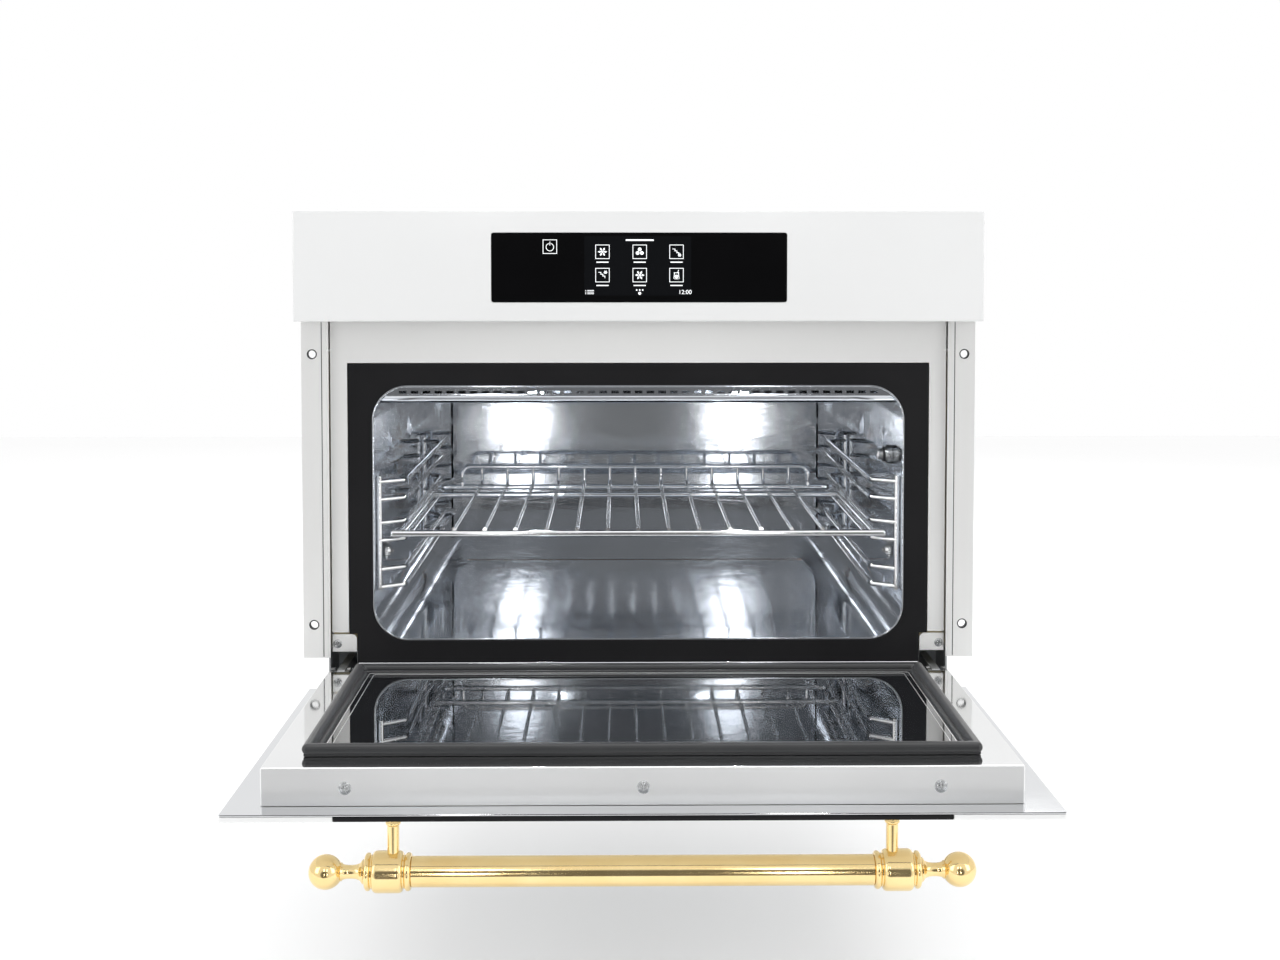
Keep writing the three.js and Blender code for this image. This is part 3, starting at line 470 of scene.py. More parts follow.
def turnedPiece(profile, at, axis, steps):    # a profile of (radius, distance) drawn by extruding, then spun
    bpy.ops.mesh.primitive_plane_add(size=0.01, location=at)
    piece = bpy.context.object
    fixPlace(piece)
    bpy.ops.object.mode_set(mode="EDIT")
    bpy.ops.mesh.select_mode(type="VERT")
    bpy.ops.mesh.select_all(action="SELECT")
    bpy.ops.mesh.merge(type="CENTER")
    out = acrossOf(axis)
    radius, distance = profile[0]
    bpy.ops.transform.translate(value=out * radius + axis * distance)
    for nextRadius, nextDistance in profile[1:]:
        step = out * (nextRadius - radius) + axis * (nextDistance - distance)
        bpy.ops.mesh.extrude_region_move(TRANSFORM_OT_translate={"value": step})
        radius, distance = nextRadius, nextDistance
    bpy.ops.mesh.select_all(action="SELECT")
    bpy.ops.mesh.spin(steps=steps, angle=2 * math.pi, center=at, axis=axis)
    return tidyMesh(piece)


def arcPoints(radius, centre, start, end, count):    # a round stretch of a turned profile
    angles = [math.radians(start + (end - start) * i / count) for i in range(count + 1)]
    return [(max(radius * math.sin(a), 0), centre - radius * math.cos(a)) for a in angles]


def bentRod(points, radius, bend, corners, steps=5):     # a round rod: straight runs extruded, bends spun
    places = [Vector(p) for p in points]
    runs = [(b - a) for a, b in zip(places, places[1:])]
    dirs = [run.normalized() for run in runs]
    turns = [a.angle(b) for a, b in zip(dirs, dirs[1:])]
    cuts = [0] + [bend * math.tan(turn / 2) for turn in turns] + [0]
    facing = up.rotation_difference(dirs[0]).to_euler()
    bpy.ops.mesh.primitive_circle_add(vertices=corners, radius=radius, fill_type="NGON", location=places[0],
                                      rotation=facing)
    piece = bpy.context.object
    fixPlace(piece)
    bpy.ops.object.mode_set(mode="EDIT")
    bpy.ops.mesh.select_mode(type="FACE")
    bpy.ops.mesh.select_all(action="SELECT")
    for i, run in enumerate(runs):
        straight = run.length - cuts[i] - cuts[i + 1]
        bpy.ops.mesh.extrude_region_move(TRANSFORM_OT_translate={"value": dirs[i] * straight})
        if i < len(turns) and turns[i] > 0.001:
            inward = (dirs[i + 1] - dirs[i] * dirs[i].dot(dirs[i + 1])).normalized()
            touch = places[i + 1] - dirs[i] * cuts[i + 1]
            bpy.ops.mesh.spin(steps=steps, angle=-turns[i], center=touch + inward * bend,
                              axis=dirs[i].cross(dirs[i + 1]))
    return tidyMesh(piece)


def joinAll(pieces):
    only(pieces[0])
    for piece in pieces:
        piece.select_set(True)
    bpy.ops.object.join()
    return pieces[0]


def copyOf(piece, shift):
    only(piece)
    bpy.ops.object.duplicate(linked=False)
    bpy.ops.transform.translate(value=shift)
    made = bpy.context.object
    fixPlace(made)
    return made


# Gives a finished piece its shading, name, material and body, and hides the CAD nodes it stands for.
def settle(piece, name, look, body, stands=(), smooth=32):
    fixPlace(piece)
    if smooth:
        bpy.ops.object.shade_smooth_by_angle(angle=math.radians(smooth))
        even = piece.modifiers.new("even", "WEIGHTED_NORMAL")   # keeps broad faces flat beside round edges
        even.keep_sharp = True
        bpy.ops.object.modifier_apply(modifier=even.name)
    piece.name = name
    piece.data.name = name
    piece.data.materials.clear()
    piece.data.materials.append(looks[look].material)
    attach(piece, body)
    if stands:
        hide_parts(*stands)


def sides(name):                           # each side's sign with its CAD node
    return [(-1, name + "_left"), (1, name + "_right")]


def sideName(side):
    return "Left" if side < 0 else "Right"


screwSettings = {"head": 0.0034, "dome": 0.0016, "recess": 0.0011, "arm": 0.0021, "width": 0.0007}


def screwHead(at, axis, scale):            # a domed head with a cross recess
    s = {key: value * scale for key, value in screwSettings.items()}
    head, dome = s["head"], s["dome"]
    profile = [(0, -dome), (head * 0.55, -dome), (head * 0.95, 0), (head, dome * 0.25),
               (head * 0.9, dome * 0.62), (head * 0.6, dome * 0.9), (0, dome)]
    piece = turnedPiece(profile, at, axis, 24)
    out = acrossOf(axis)
    side = axis.cross(out)
    clear = 0.001                          # the cutter starts this far above the dome
    top = Vector(at) + axis * (dome + clear)
    for a, b in ((out, side), (side, out)):
        reach = a * s["arm"] + b * s["width"] / 2
        one = top - axis * (s["recess"] + clear) - reach
        other = top + reach
        low = [min(p, q) for p, q in zip(one, other)]
        high = [max(p, q) for p, q in zip(one, other)]
        combine(piece, boxPiece(low, high))
    return piece


def makeFascia():
    s = {"edge": 0.0016, "sideEdge": 0.6, "wall": 0.0025, "paneGap": 0.0003, "paneCorner": 0.002,
         "bossReach": 0.0058, "bossX": (-0.24, 0.24), "bossHeights": (0.372, 0.442), "bossRadius": 0.004,
         "bossLength": 0.0406}
    low, high = fasciaLow.copy(), fasciaHigh.copy()
    high.y -= s["bossReach"]
    wall = s["wall"]
    piece = boxPiece(low, high)
    bevelEdges(piece, lambda edge: all(v.y < low.y + near for v in ends(piece, edge)), s["edge"], 4)
    bevelEdges(piece, alongAxis(piece, 1), s["edge"] * s["sideEdge"], 3)
    combine(piece, boxPiece((low.x + wall, low.y + wall, low.z + wall),
                            (high.x - wall, high.y + past, high.z - wall)))
    glassLow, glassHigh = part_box("control_glass")
    grow = Vector((s["paneGap"], past, s["paneGap"]))
    combine(piece, roundedPrism(glassLow - grow, glassHigh + grow, 1, s["paneCorner"] + s["paneGap"], 6))
    radius, length = s["bossRadius"], s["bossLength"]
    for x in s["bossX"]:
        for z in s["bossHeights"]:
            boss = turnedPiece([(0, 0), (radius, 0), (radius, length), (0, length)],
                               Vector((x, low.y + wall, z)), back, 20)
            settle(boss, f"fasciaBoss{sideName(x)[0]}{round(z * 1000)}", "whiteEnamel", "chassis")
    settle(piece, "fasciaShell", "whiteEnamel", "chassis", ["fascia"])


markDepth = 0.00018                        # thickness of the printed marks on the display


def barAcross(centre, width, height, turn=0.0):
    bpy.ops.mesh.primitive_cube_add(size=1, location=centre, rotation=(0, turn, 0))
    piece = bpy.context.object
    piece.scale = (width, markDepth, height)
    fixPlace(piece)
    return piece


def dot(centre, radius, corners=12):
    bpy.ops.mesh.primitive_cylinder_add(vertices=corners, radius=radius, depth=markDepth, location=centre,
                                        rotation=(math.pi / 2, 0, 0))
    fixPlace(bpy.context.object)
    return bpy.context.object


def squareLine(centre, size, line):
    half = (size - line) / 2
    x, y, z = centre
    return [barAcross((x, y, z + half), size, line), barAcross((x, y, z - half), size, line),
            barAcross((x - half, y, z), line, size - 2 * line),
            barAcross((x + half, y, z), line, size - 2 * line)]


def snowflake(centre, size, line):
    s = {"forkAt": 0.32, "forkLength": 0.24, "forkTurn": 52}
    x, y, z = centre
    arms = [barAcross(centre, size, line, turn=math.radians(60 * i)) for i in range(3)]
    for i in range(6):
        a = math.radians(60 * i)
        tip = (x + math.cos(a) * size * s["forkAt"], y, z - math.sin(a) * size * s["forkAt"])
        arms += [barAcross(tip, size * s["forkLength"], line, turn=a + math.radians(t))
                 for t in (s["forkTurn"], -s["forkTurn"])]
    return arms


def powerMark(x, y, z, line):              # a ring that is open at the top, with a stroke in the gap
    s = {"inner": 0.0030, "outer": 0.0035, "drop": 0.0004, "gap": 0.0009, "gapRise": 0.006, "stroke": 0.0034,
         "strokeRise": 0.0026, "reach": 0.001}
    inner, outer, half = s["inner"], s["outer"], markDepth / 2
    ring = turnedPiece([(inner, -half), (outer, -half), (outer, half), (inner, half), (inner, -half)],
                       Vector((x, y, z - s["drop"])), back, 28)
    notch = boxPiece((x - s["gap"], y - s["reach"], z), (x + s["gap"], y + s["reach"], z + s["gapRise"]))
    return [combine(ring, notch), barAcross((x, y, z + s["strokeRise"]), line, s["stroke"])]


def makeDisplay():
    s = {"corner": 0.002, "edge": 0.0004, "proud": 0.00012, "screen": (-0.0472, 0.0446, 0.3814, 0.4325),
         "screenDepth": 0.0005, "screenCorner": 0.0008, "markRise": 1.6, "columns": (-0.0316, 0.0004, 0.0320),
         "rows": (0.4190, 0.3990), "icon": 0.0122, "line": 0.0005, "label": (0.0105, 0.0009),
         "labelDrop": 0.0089, "power": (-0.0767, 0.4234), "title": (0.4290, 0.0240, 0.0013),
         "menuX": -0.0418, "menuZ": 0.3858, "menuStep": 0.0014, "menuLine": 0.0058, "menuDotX": -0.0460,
         "menuDot": 0.0004, "pageZ": 0.3862, "pageStep": 0.0026, "pageDot": 0.0007, "homeZ": 0.3834,
         "homeDot": 0.0013, "clock": (0.0394, 0.3827), "clockSize": 0.0052, "clockDepth": 0.00008}
    low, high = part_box("control_glass")
    pane = roundedPrism(low, high, 1, s["corner"], 6)
    settle(soften(pane, s["edge"], 2, 60), "controlPane", "controlGlass", "chassis", ["control_glass"])
    x0, x1, z0, z1 = s["screen"]
    face = low.y
    screen = roundedPrism((x0, face - s["proud"], z0), (x1, face + s["screenDepth"], z1), 1,
                          s["screenCorner"], 3)
    settle(screen, "displayScreen", "screenGlass", "chassis")
    line = s["line"]
    y = face - s["proud"] * s["markRise"]
    powerX, powerZ = s["power"]
    marks = squareLine((powerX, y, powerZ), s["icon"], line) + powerMark(powerX, y, powerZ, line)
    for row, z in enumerate(s["rows"]):
        for column, x in enumerate(s["columns"]):
            marks += squareLine((x, y, z), s["icon"], line)
            marks += iconSymbol(row * len(s["columns"]) + column, (x, y, z), line)
            marks.append(barAcross((x, y, z - s["labelDrop"]), *s["label"]))
    middle = s["columns"][1]
    titleZ, titleWidth, titleHeight = s["title"]
    marks.append(barAcross((middle, y, titleZ), titleWidth, titleHeight))
    for i in range(3):
        z = s["menuZ"] - s["menuStep"] * i
        marks.append(barAcross((s["menuX"], y, z), s["menuLine"], line))
        marks.append(dot((s["menuDotX"], y, z), s["menuDot"], 8))
        marks.append(dot((middle + s["pageStep"] * (i - 1), y, s["pageZ"]), s["pageDot"], 8))
    marks.append(dot((middle, y, s["homeZ"]), s["homeDot"]))
    settle(joinAll(marks), "displayIcons", "iconWhite", "chassis", smooth=0)
    clockX, clockZ = s["clock"]
    bpy.ops.object.text_add(location=(clockX, y + 0.0001, clockZ), rotation=(math.pi / 2, 0, 0))
    clock = bpy.context.object
    clock.data.body = "12:00"
    clock.data.size = s["clockSize"]
    clock.data.align_x = "CENTER"
    clock.data.extrude = s["clockDepth"]
    only(clock)
    bpy.ops.object.convert(target="MESH")
    settle(clock, "displayClock", "iconWhite", "chassis", smooth=0)


def iconSymbol(kind, centre, line):
    x, y, z = centre
    if kind in (0, 4):                     # snowflakes
        return snowflake(centre, 0.0078, line)
    if kind == 1:                          # three drops
        return [dot((x + 0.0021 * math.sin(a), y, z + 0.0021 * math.cos(a)), 0.0016) for a in (0, 2.094, 4.189)]
    if kind in (2, 3):                     # falling steps beside a small flake
        stairs = [(x + 0.0017 * i, z - 0.0016 * i) for i in range(3)]
        steps = [barAcross((across - 0.0024, y, down + 0.0024), 0.0022, line) for across, down in stairs]
        drops = [barAcross((across - 0.0013, y, down + 0.0016), line, 0.0020) for across, down in stairs]
        flake = (x + 0.0026, y, z - 0.0028 + 0.0052 * (kind == 3))
        return steps + drops + snowflake(flake, 0.0032, line * 0.7)
    cup = [barAcross((x, y, z + 0.0020), 0.0046, line)]      # a cup with a straw
    cup += [barAcross((x + 0.0020 * side, y, z - 0.0006), line, 0.0052, turn=-0.12 * side) for side in (-1, 1)]
    cup.append(barAcross((x, y, z - 0.0032), 0.0034, line))
    straw = barAcross((x + 0.0014, y, z + 0.0032), line, 0.0030, turn=0.3)
    return cup + [dot((x, y, z - 0.0012), 0.0015), straw]


def makeFront():                           # stainless sheet and the two mounting channels with their holes, plus dark pieces of painted shade in the grooves and holes
    s = {"edge": 0.0005, "channelEdge": 0.00018, "shadeLineX": (0.27925, 0.27995), "shadeLineFront": 0.00035,
         "shadeLineRear": 0.00058, "shadeLineEnds": 0.001, "shadeLineEdge": 0.00005, "holeX": 0.288,
         "holeHeights": (0.0885, 0.329), "shadeSleeve": [(0.0034, 0.0004), (0.0038, 0.0001), (0.0044, 0.0001),
                                                    (0.0044, 0.0052), (0.0036, 0.0052), (0.0034, 0.0004)]}
    settle(soften(copyOfNode("front_panel"), s["edge"]), "frontSheet", "frontSteel", "chassis", ["front_panel"])
    for side, node in sides("side_channel"):
        name = sideName(side)
        low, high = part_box(node)
        channel = soften(copyOfNode(node), s["channelEdge"], 1, 50)
        settle(channel, "mountChannel" + name, "frontSteel", "chassis", [node])
        # a dark strip in the channel's groove: painted shade for the shadow along the sheet's fold
        x0, x1 = sorted(side * x for x in s["shadeLineX"])
        shadeLine = boxPiece((x0, low.y + s["shadeLineFront"], low.z + s["shadeLineEnds"]),
                        (x1, low.y + s["shadeLineRear"], high.z - s["shadeLineEnds"]))
        settle(soften(shadeLine, s["shadeLineEdge"], 1), "channelShadeLine" + name, "fanPlastic", "chassis")
        for height in s["holeHeights"]:
            # a dark plastic sleeve in each hole, its dark colour painted shade for the hole's shaded inner wall
            shadeSleeve = turnedPiece(s["shadeSleeve"], Vector((side * s["holeX"], low.y, height)), back, 32)
            settle(shadeSleeve, f"holeShadeSleeve{name}{round(height * 1000)}", "fanPlastic", "chassis")


cavitySettings = {"halfWidth": 0.2366, "bottom": 0.0730, "top": 0.3006, "corner": 0.0316, "segments": 14,
                  "wall": 0.0014}


def mouthPrism(grow, front, rear, corner): # a block with the mouth's rounded outline, grown all round
    s = cavitySettings
    low, high = Vector((-s["halfWidth"], 0, s["bottom"])), Vector((s["halfWidth"], 0, s["top"]))
    return roundedPrism((low.x - grow, front, low.z - grow), (high.x + grow, rear, high.z + grow), 1,
                        corner, s["segments"])


def makeCavityFrame():                     # black frame round the mouth, cut back beside the hinge covers
    s = {"edge": 0.0005, "gap": 0.0004, "corner": 0.032, "sideEnd": 0.3}
    low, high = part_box("breaker_frame")
    piece = boxPiece(low, high)
    coverLow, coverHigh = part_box("hinge_plate_right")
    for side in (-1, 1):
        x0, x1 = sorted((side * (coverLow.x - s["gap"]), side * s["sideEnd"]))
        combine(piece, boxPiece((x0, low.y - past, low.z - past), (x1, high.y + past, coverHigh.z + s["gap"])))
    combine(piece, mouthPrism(s["gap"], low.y - past, high.y + past, s["corner"]))
    settle(soften(piece, s["edge"], 3), "cavityFrame", "blackFrame", "chassis", ["breaker_frame"])


def makeThreshold():
    s = {"edge": 0.0008, "screws": (-0.203, 0.0, 0.203), "screwScale": 0.62}
    low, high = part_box("bottom_trim")
    strip = soften(boxPiece(low, high), s["edge"], 3)
    settle(strip, "thresholdStrip", "mirrorSteel", "chassis", ["bottom_trim"])
    for i, x in enumerate(s["screws"]):
        screw = screwHead(Vector((x, low.y, (low.z + high.z) / 2)), -back, s["screwScale"])
        settle(screw, f"thresholdScrew{i + 1}", "zincSteel", "chassis")


def makeHingeCovers():                     # small plates, each with its inner top corner rounded
    s = {"corner": 0.0045, "edge": 0.0005, "screwX": 0.2685, "screwZ": 0.070, "screwScale": 1.15}
    for side, node in sides("hinge_plate"):
        low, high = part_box(node)
        inner, outer = (high.x, low.x - past) if side < 0 else (low.x, high.x + past)
        bound = boxPiece((min(inner, outer), low.y - past, low.z - past),
                         (max(inner, outer), high.y + past, high.z))
        topInner = alongAxis(bound, 1, lambda m: abs(m.x - inner) < near and m.z > high.z - near)
        bevelEdges(bound, topInner, s["corner"], 6)
        cover = soften(combine(copyOfNode(node), bound, "INTERSECT"), s["edge"], 2)
        settle(cover, "hingeCover" + sideName(side), "frontSteel", "chassis", [node])
        screw = screwHead(Vector((side * s["screwX"], low.y, s["screwZ"])), -back, s["screwScale"])
        settle(screw, "hingeScrew" + sideName(side), "zincSteel", "chassis")


def makeCavity():                          # thin polished shell with a flange that stands behind the frame
    s = {"edge": 0.0005, "flangeHalf": 0.249, "flangeBottom": 0.060, "flangeTop": 0.314, "flangeFront": 0.0024,
         "flangeRear": 0.0036, "flangeLap": 0.0004, "flangeCut": 0.02}
    low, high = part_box("cavity_liner")
    wall, corner = cavitySettings["wall"], cavitySettings["corner"]
    shell = mouthPrism(0, low.y, high.y, corner)
    combine(shell, mouthPrism(-wall, low.y - past, high.y - wall, corner - wall))
    soften(shell, s["edge"], 2, 60)
    flange = boxPiece((-s["flangeHalf"], low.y + s["flangeFront"], s["flangeBottom"]),
                      (s["flangeHalf"], low.y + s["flangeRear"], s["flangeTop"]))
    combine(flange, mouthPrism(-s["flangeLap"], low.y - past, low.y + s["flangeCut"], corner))
    combine(shell, flange, "UNION")
    settle(shell, "cavityShell", "cavitySteel", "chassis", ["cavity_liner"], smooth=25)


def makeWallFittings():                    # threaded studs and pressed bosses on the cavity's side walls
    s = {"studEnd": 0.222, "turns": 14, "root": 0.0018, "crest": 0.00215, "runIn": 0.0004,
         "bosses": ((0.150, 0.240), (0.300, 0.240), (0.150, 0.100), (0.300, 0.100)),
         "boss": [(0, 0.0016), (0.006, 0.0014), (0.010, 0.0006), (0.0125, 0.0), (0.0125, -0.0004),
                  (0, -0.0004)]}
    wallX = cavitySettings["halfWidth"] - cavitySettings["wall"]
    length = wallX - s["studEnd"]
    pitch = (length - 2 * s["runIn"]) / s["turns"]
    thread = [(0, 0)]
    for i in range(s["turns"]):
        start = s["runIn"] + pitch * i
        thread += [(s["root"], start), (s["crest"], start + pitch / 2)]
    thread += [(s["root"], length - s["runIn"] / 2), (0, length)]
    for side, node in sides("thumb_nut"):
        low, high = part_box(node)
        centre = (low + high) / 2
        stud = turnedPiece(thread, Vector((side * wallX, centre.y, centre.z)), right * -side, 20)
        settle(stud, "guideStud" + sideName(side), "zincSteel", "chassis")
        for i, (depth, height) in enumerate(s["bosses"]):
            boss = turnedPiece(s["boss"], Vector((side * wallX, frontFace + depth, height)), right * -side, 32)
            settle(boss, f"wallBoss{sideName(side)}{i + 1}", "cavitySteel", "chassis", smooth=60)


def makeRearCover():                       # rear wall of the cavity, with a column of air slots on each side
    s = {"inset": 0.0017, "slots": 5, "slotStep": 0.034, "slotX": (0.204, 0.2064), "slotHalf": 0.014,
         "slotCorner": 0.0011, "slotDrop": 0.0066}
    low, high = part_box("evaporator_cover")
    cover = roundedPrism(low, high, 1, cavitySettings["corner"] - s["inset"], cavitySettings["segments"])
    for side in (-1, 1):
        x0, x1 = sorted(side * x for x in s["slotX"])
        for i in range(s["slots"]):
            z = (low.z + high.z) / 2 - s["slotDrop"] + (i - (s["slots"] - 1) // 2) * s["slotStep"]
            slot = roundedPrism((x0, low.y - past, z - s["slotHalf"]), (x1, high.y + past, z + s["slotHalf"]),
                                1, s["slotCorner"], 4)
            combine(cover, slot)
    settle(cover, "rearCover", "cavitySteel", "chassis", ["evaporator_cover"])


def makeDuct():                            # air duct along the ceiling, with a row of slots and two lamps
    s = {"round": 0.008, "wall": 0.0015, "inset": 0.0017, "corner": 0.030, "slots": 41, "step": 0.0105,
         "slotHalf": (0.0034, 0.0012), "slotHeight": 0.2944, "slotReach": (0.005, 0.006), "lampHole": 0.0084,
         "lampDepth": 0.006, "rimDrop": 0.00005, "lens": 0.0079, "lensBelly": 0.0017, "lensTop": 0.0062,
         "rim": [(0.0080, 0.0004), (0.0086, -0.0012), (0.0100, -0.0016), (0.0106, -0.0008), (0.0106, 0.0),
                 (0.0080, 0.0004)]}
    low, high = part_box("ceiling_duct")
    wall = s["wall"]
    piece = boxPiece(low, high)
    lowerFront = alongAxis(piece, 0, lambda m: m.y < low.y + near and m.z < low.z + near)
    bevelEdges(piece, lowerFront, s["round"], 8)
    inside = boxPiece((low.x - past, low.y + wall, low.z + wall), (high.x + past, high.y + past, high.z + past))
    lowerFront = alongAxis(inside, 0, lambda m: m.y < low.y + wall + near and m.z < low.z + wall + near)
    bevelEdges(inside, lowerFront, s["round"] - wall, 8)
    combine(piece, inside)
    combine(piece, mouthPrism(-s["inset"], low.y - past, high.y + past, s["corner"]), "INTERSECT")
    halfX, halfZ = s["slotHalf"]
    ahead, behind = s["slotReach"]
    slots = []
    for i in range(s["slots"]):
        x = (i - (s["slots"] - 1) / 2) * s["step"]
        slots.append(boxPiece((x - halfX, low.y - ahead, s["slotHeight"] - halfZ),
                              (x + halfX, low.y + behind, s["slotHeight"] + halfZ)))
    combine(piece, joinAll(slots))
    hole, depth, lens, belly = s["lampHole"], s["lampDepth"], s["lens"], s["lensBelly"]
    lensProfile = [(0, s["lensTop"]), (lens, s["lensTop"]), (lens, 0.0)]
    lensProfile += [(lens * math.cos(a), -belly * math.sin(a)) for a in (0.35, 0.75, 1.15)] + [(0, -belly)]
    for side, node in sides("lamp_lens"):
        lensLow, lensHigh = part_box(node)
        centre = (lensLow + lensHigh) / 2
        seat = Vector((centre.x, centre.y, low.z))
        combine(piece, turnedPiece([(0, -past), (hole, -past), (hole, depth), (0, depth)], seat, up, 32))
        rim = turnedPiece(s["rim"], seat - up * s["rimDrop"], up, 36)
        settle(rim, "lampRim" + sideName(side), "chromedWire", "chassis")
        glass = turnedPiece(lensProfile, seat, up, 36)
        settle(glass, "lampLens" + sideName(side), "lampFrost", "chassis", [node])
    settle(piece, "airDuct", "cavitySteel", "chassis", ["ceiling_duct"])


def makeRack():
    s = {"rod": 0.003, "wireRod": 0.0019, "upstandRod": 0.0025, "count": 13, "step": 0.0277, "plane": 0.0034,
         "length": 0.312, "frontHalf": 0.222, "sideX": 0.214, "corner": 0.012, "barInset": 0.060,
         "wireBend": 0.006, "upstandHalf": 0.1875, "upstandRise": 0.022, "upstandBend": 0.009,
         "cap": [(0, 0.0016), (0.0021, 0.0012), (0.003, 0.0), (0.003, -0.001), (0, -0.001)]}
    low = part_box("wire_rack")[0]
    rod, sideX, frontHalf, half = s["rod"], s["sideX"], s["frontHalf"], s["upstandHalf"]
    front = low.y + rod
    rear = front + s["length"]
    bar = rear - s["barInset"]
    z = low.z + rod
    top = z + s["plane"]
    rise = z + s["upstandRise"]
    parts = [bentRod([(-frontHalf, front, z), (frontHalf, front, z)], rod, s["corner"], 14)]
    parts.append(bentRod([(-sideX, front, z), (-sideX, rear, z), (sideX, rear, z), (sideX, front, z)],
                         rod, s["corner"], 14, 8))
    parts.append(bentRod([(-sideX, bar, z), (sideX, bar, z)], rod, s["corner"], 14))
    for end in (-1, 1):
        parts.append(turnedPiece(s["cap"], Vector((end * frontHalf, front, z)), right * end, 16))
    wire = bentRod([(0, front, top), (0, rear, top), (0, rear, rise)], s["wireRod"], s["wireBend"], 10, 5)
    first = -(s["count"] - 1) / 2 * s["step"]
    parts += [copyOf(wire, (first + s["step"] * i, 0, 0)) for i in range(s["count"])]
    bpy.data.objects.remove(wire)
    parts.append(bentRod([(-half, rear, z), (-half, rear, rise), (half, rear, rise), (half, rear, z)],
                         s["upstandRod"], s["upstandBend"], 14, 8))
    settle(joinAll(parts), "wireRack", "chromedWire", "rack", ["wire_rack"], smooth=50)


def makeGuides():                          # two posts on each side, joined by three pairs of bent rails
    s = {"levels": (0.134, 0.176, 0.213), "pair": 0.016, "rod": 0.0025, "post": 0.2324, "inner": 0.211,
         "step": 0.016, "bend": 0.007, "capDrop": 0.0012, "tabX": (0.2332, 0.2348),
         "tabHeights": (0.1395, 0.1565), "tabLength": 0.028, "tabCorner": 0.007,
         "cap": [(0, 0.0012), (0.0017, 0.0009), (0.0025, 0), (0.0025, -0.001), (0, -0.001)]}
    rod, bend, step = s["rod"], s["bend"], s["step"]
    for side, node in sides("rack_guide"):
        low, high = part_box(node)
        postX, railX = side * s["post"], side * s["inner"]
        front, rear = low.y + rod, high.y - rod
        parts = []
        for y in (front, rear):
            parts.append(bentRod([(postX, y, low.z), (postX, y, high.z)], rod, bend, 14))
            for end, z in ((-1, low.z), (1, high.z)):
                parts.append(turnedPiece(s["cap"], Vector((postX, y, z - end * s["capDrop"])), up * end, 14))
        for level in s["levels"]:
            for z in (level, level - s["pair"]):
                parts.append(bentRod([(postX, front, z), (railX, front + step, z), (railX, rear - step, z),
                                      (postX, rear, z)], rod, bend, 14, 6))
        x0, x1 = sorted(side * x for x in s["tabX"])
        z0, z1 = s["tabHeights"]
        tabEnd = front + s["tabLength"]
        tab = boxPiece((x0, front, z0), (x1, tabEnd, z1))
        parts.append(bevelEdges(tab, alongAxis(tab, 0, lambda m: m.y > tabEnd - near), s["tabCorner"], 8))
        settle(joinAll(parts), "rackGuide" + sideName(side), "chromedWire", "chassis", [node], smooth=50)


def makeNuts():                            # knurled thumb nuts with a narrower neck towards the wall
    s = {"radius": 0.008, "bore": 0.0026, "neckEnd": 0.62, "neck": 0.70, "neckLength": 0.0018, "edge": 0.0009,
         "grooves": 24, "grooveRadius": 0.0008, "grooveLength": 0.02}
    bore, radius, edge = s["bore"], s["radius"], s["edge"]
    for side, node in sides("thumb_nut"):
        low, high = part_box(node)
        centre = (low + high) / 2
        half = (high.x - low.x) / 2
        shoulder = -half + s["neckLength"]
        piece = turnedPiece([(bore, half), (bore, -half), (radius * s["neckEnd"], -half),
                             (radius * s["neck"], shoulder), (radius - edge, shoulder),
                             (radius, shoulder + edge), (radius, half - edge), (radius - edge, half),
                             (bore, half)], centre, right * side, 48)
        cutters = []
        for i in range(s["grooves"]):
            a = 2 * math.pi * i / s["grooves"]
            place = centre + back * math.cos(a) * radius + up * math.sin(a) * radius
            bpy.ops.mesh.primitive_cylinder_add(vertices=8, radius=s["grooveRadius"], depth=s["grooveLength"],
                                                rotation=(0, math.pi / 2, 0), location=place)
            fixPlace(bpy.context.object)
            cutters.append(bpy.context.object)
        combine(piece, joinAll(cutters))
        name = sideName(side)
        settle(piece, "thumbNut" + name, "chromedWire", name.lower() + "_nut", [node])


def makeProbeSocket():
    low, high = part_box("probe_socket")
    centre = Vector((low.x, (low.y + high.y) / 2, (low.z + high.z) / 2))
    length = high.x - low.x
    s = {"body": [(0.002, 0.011), (0.002, 0.0006), (0.0026, 0.0), (0.0042, 0.0), (0.005, 0.0009),
                  (0.005, 0.0066), (0.0078, 0.0070), (0.009, 0.0082), (0.009, 0.0127), (0.005, 0.0129),
                  (0.005, length), (0, length), (0, 0.011), (0.002, 0.011)],
         "collar": [(0.0048, 0), (0.0064, 0.0), (0.0068, 0.0006), (0.0068, 0.0022), (0.0048, 0.0022),
                    (0.0048, 0)], "collarAt": 0.0044}
    settle(turnedPiece(s["body"], centre, right, 36), "probeSocket", "zincSteel", "chassis", ["probe_socket"])
    collar = turnedPiece(s["collar"], centre + right * s["collarAt"], right, 36)
    settle(collar, "probeCollar", "gasketRubber", "chassis")


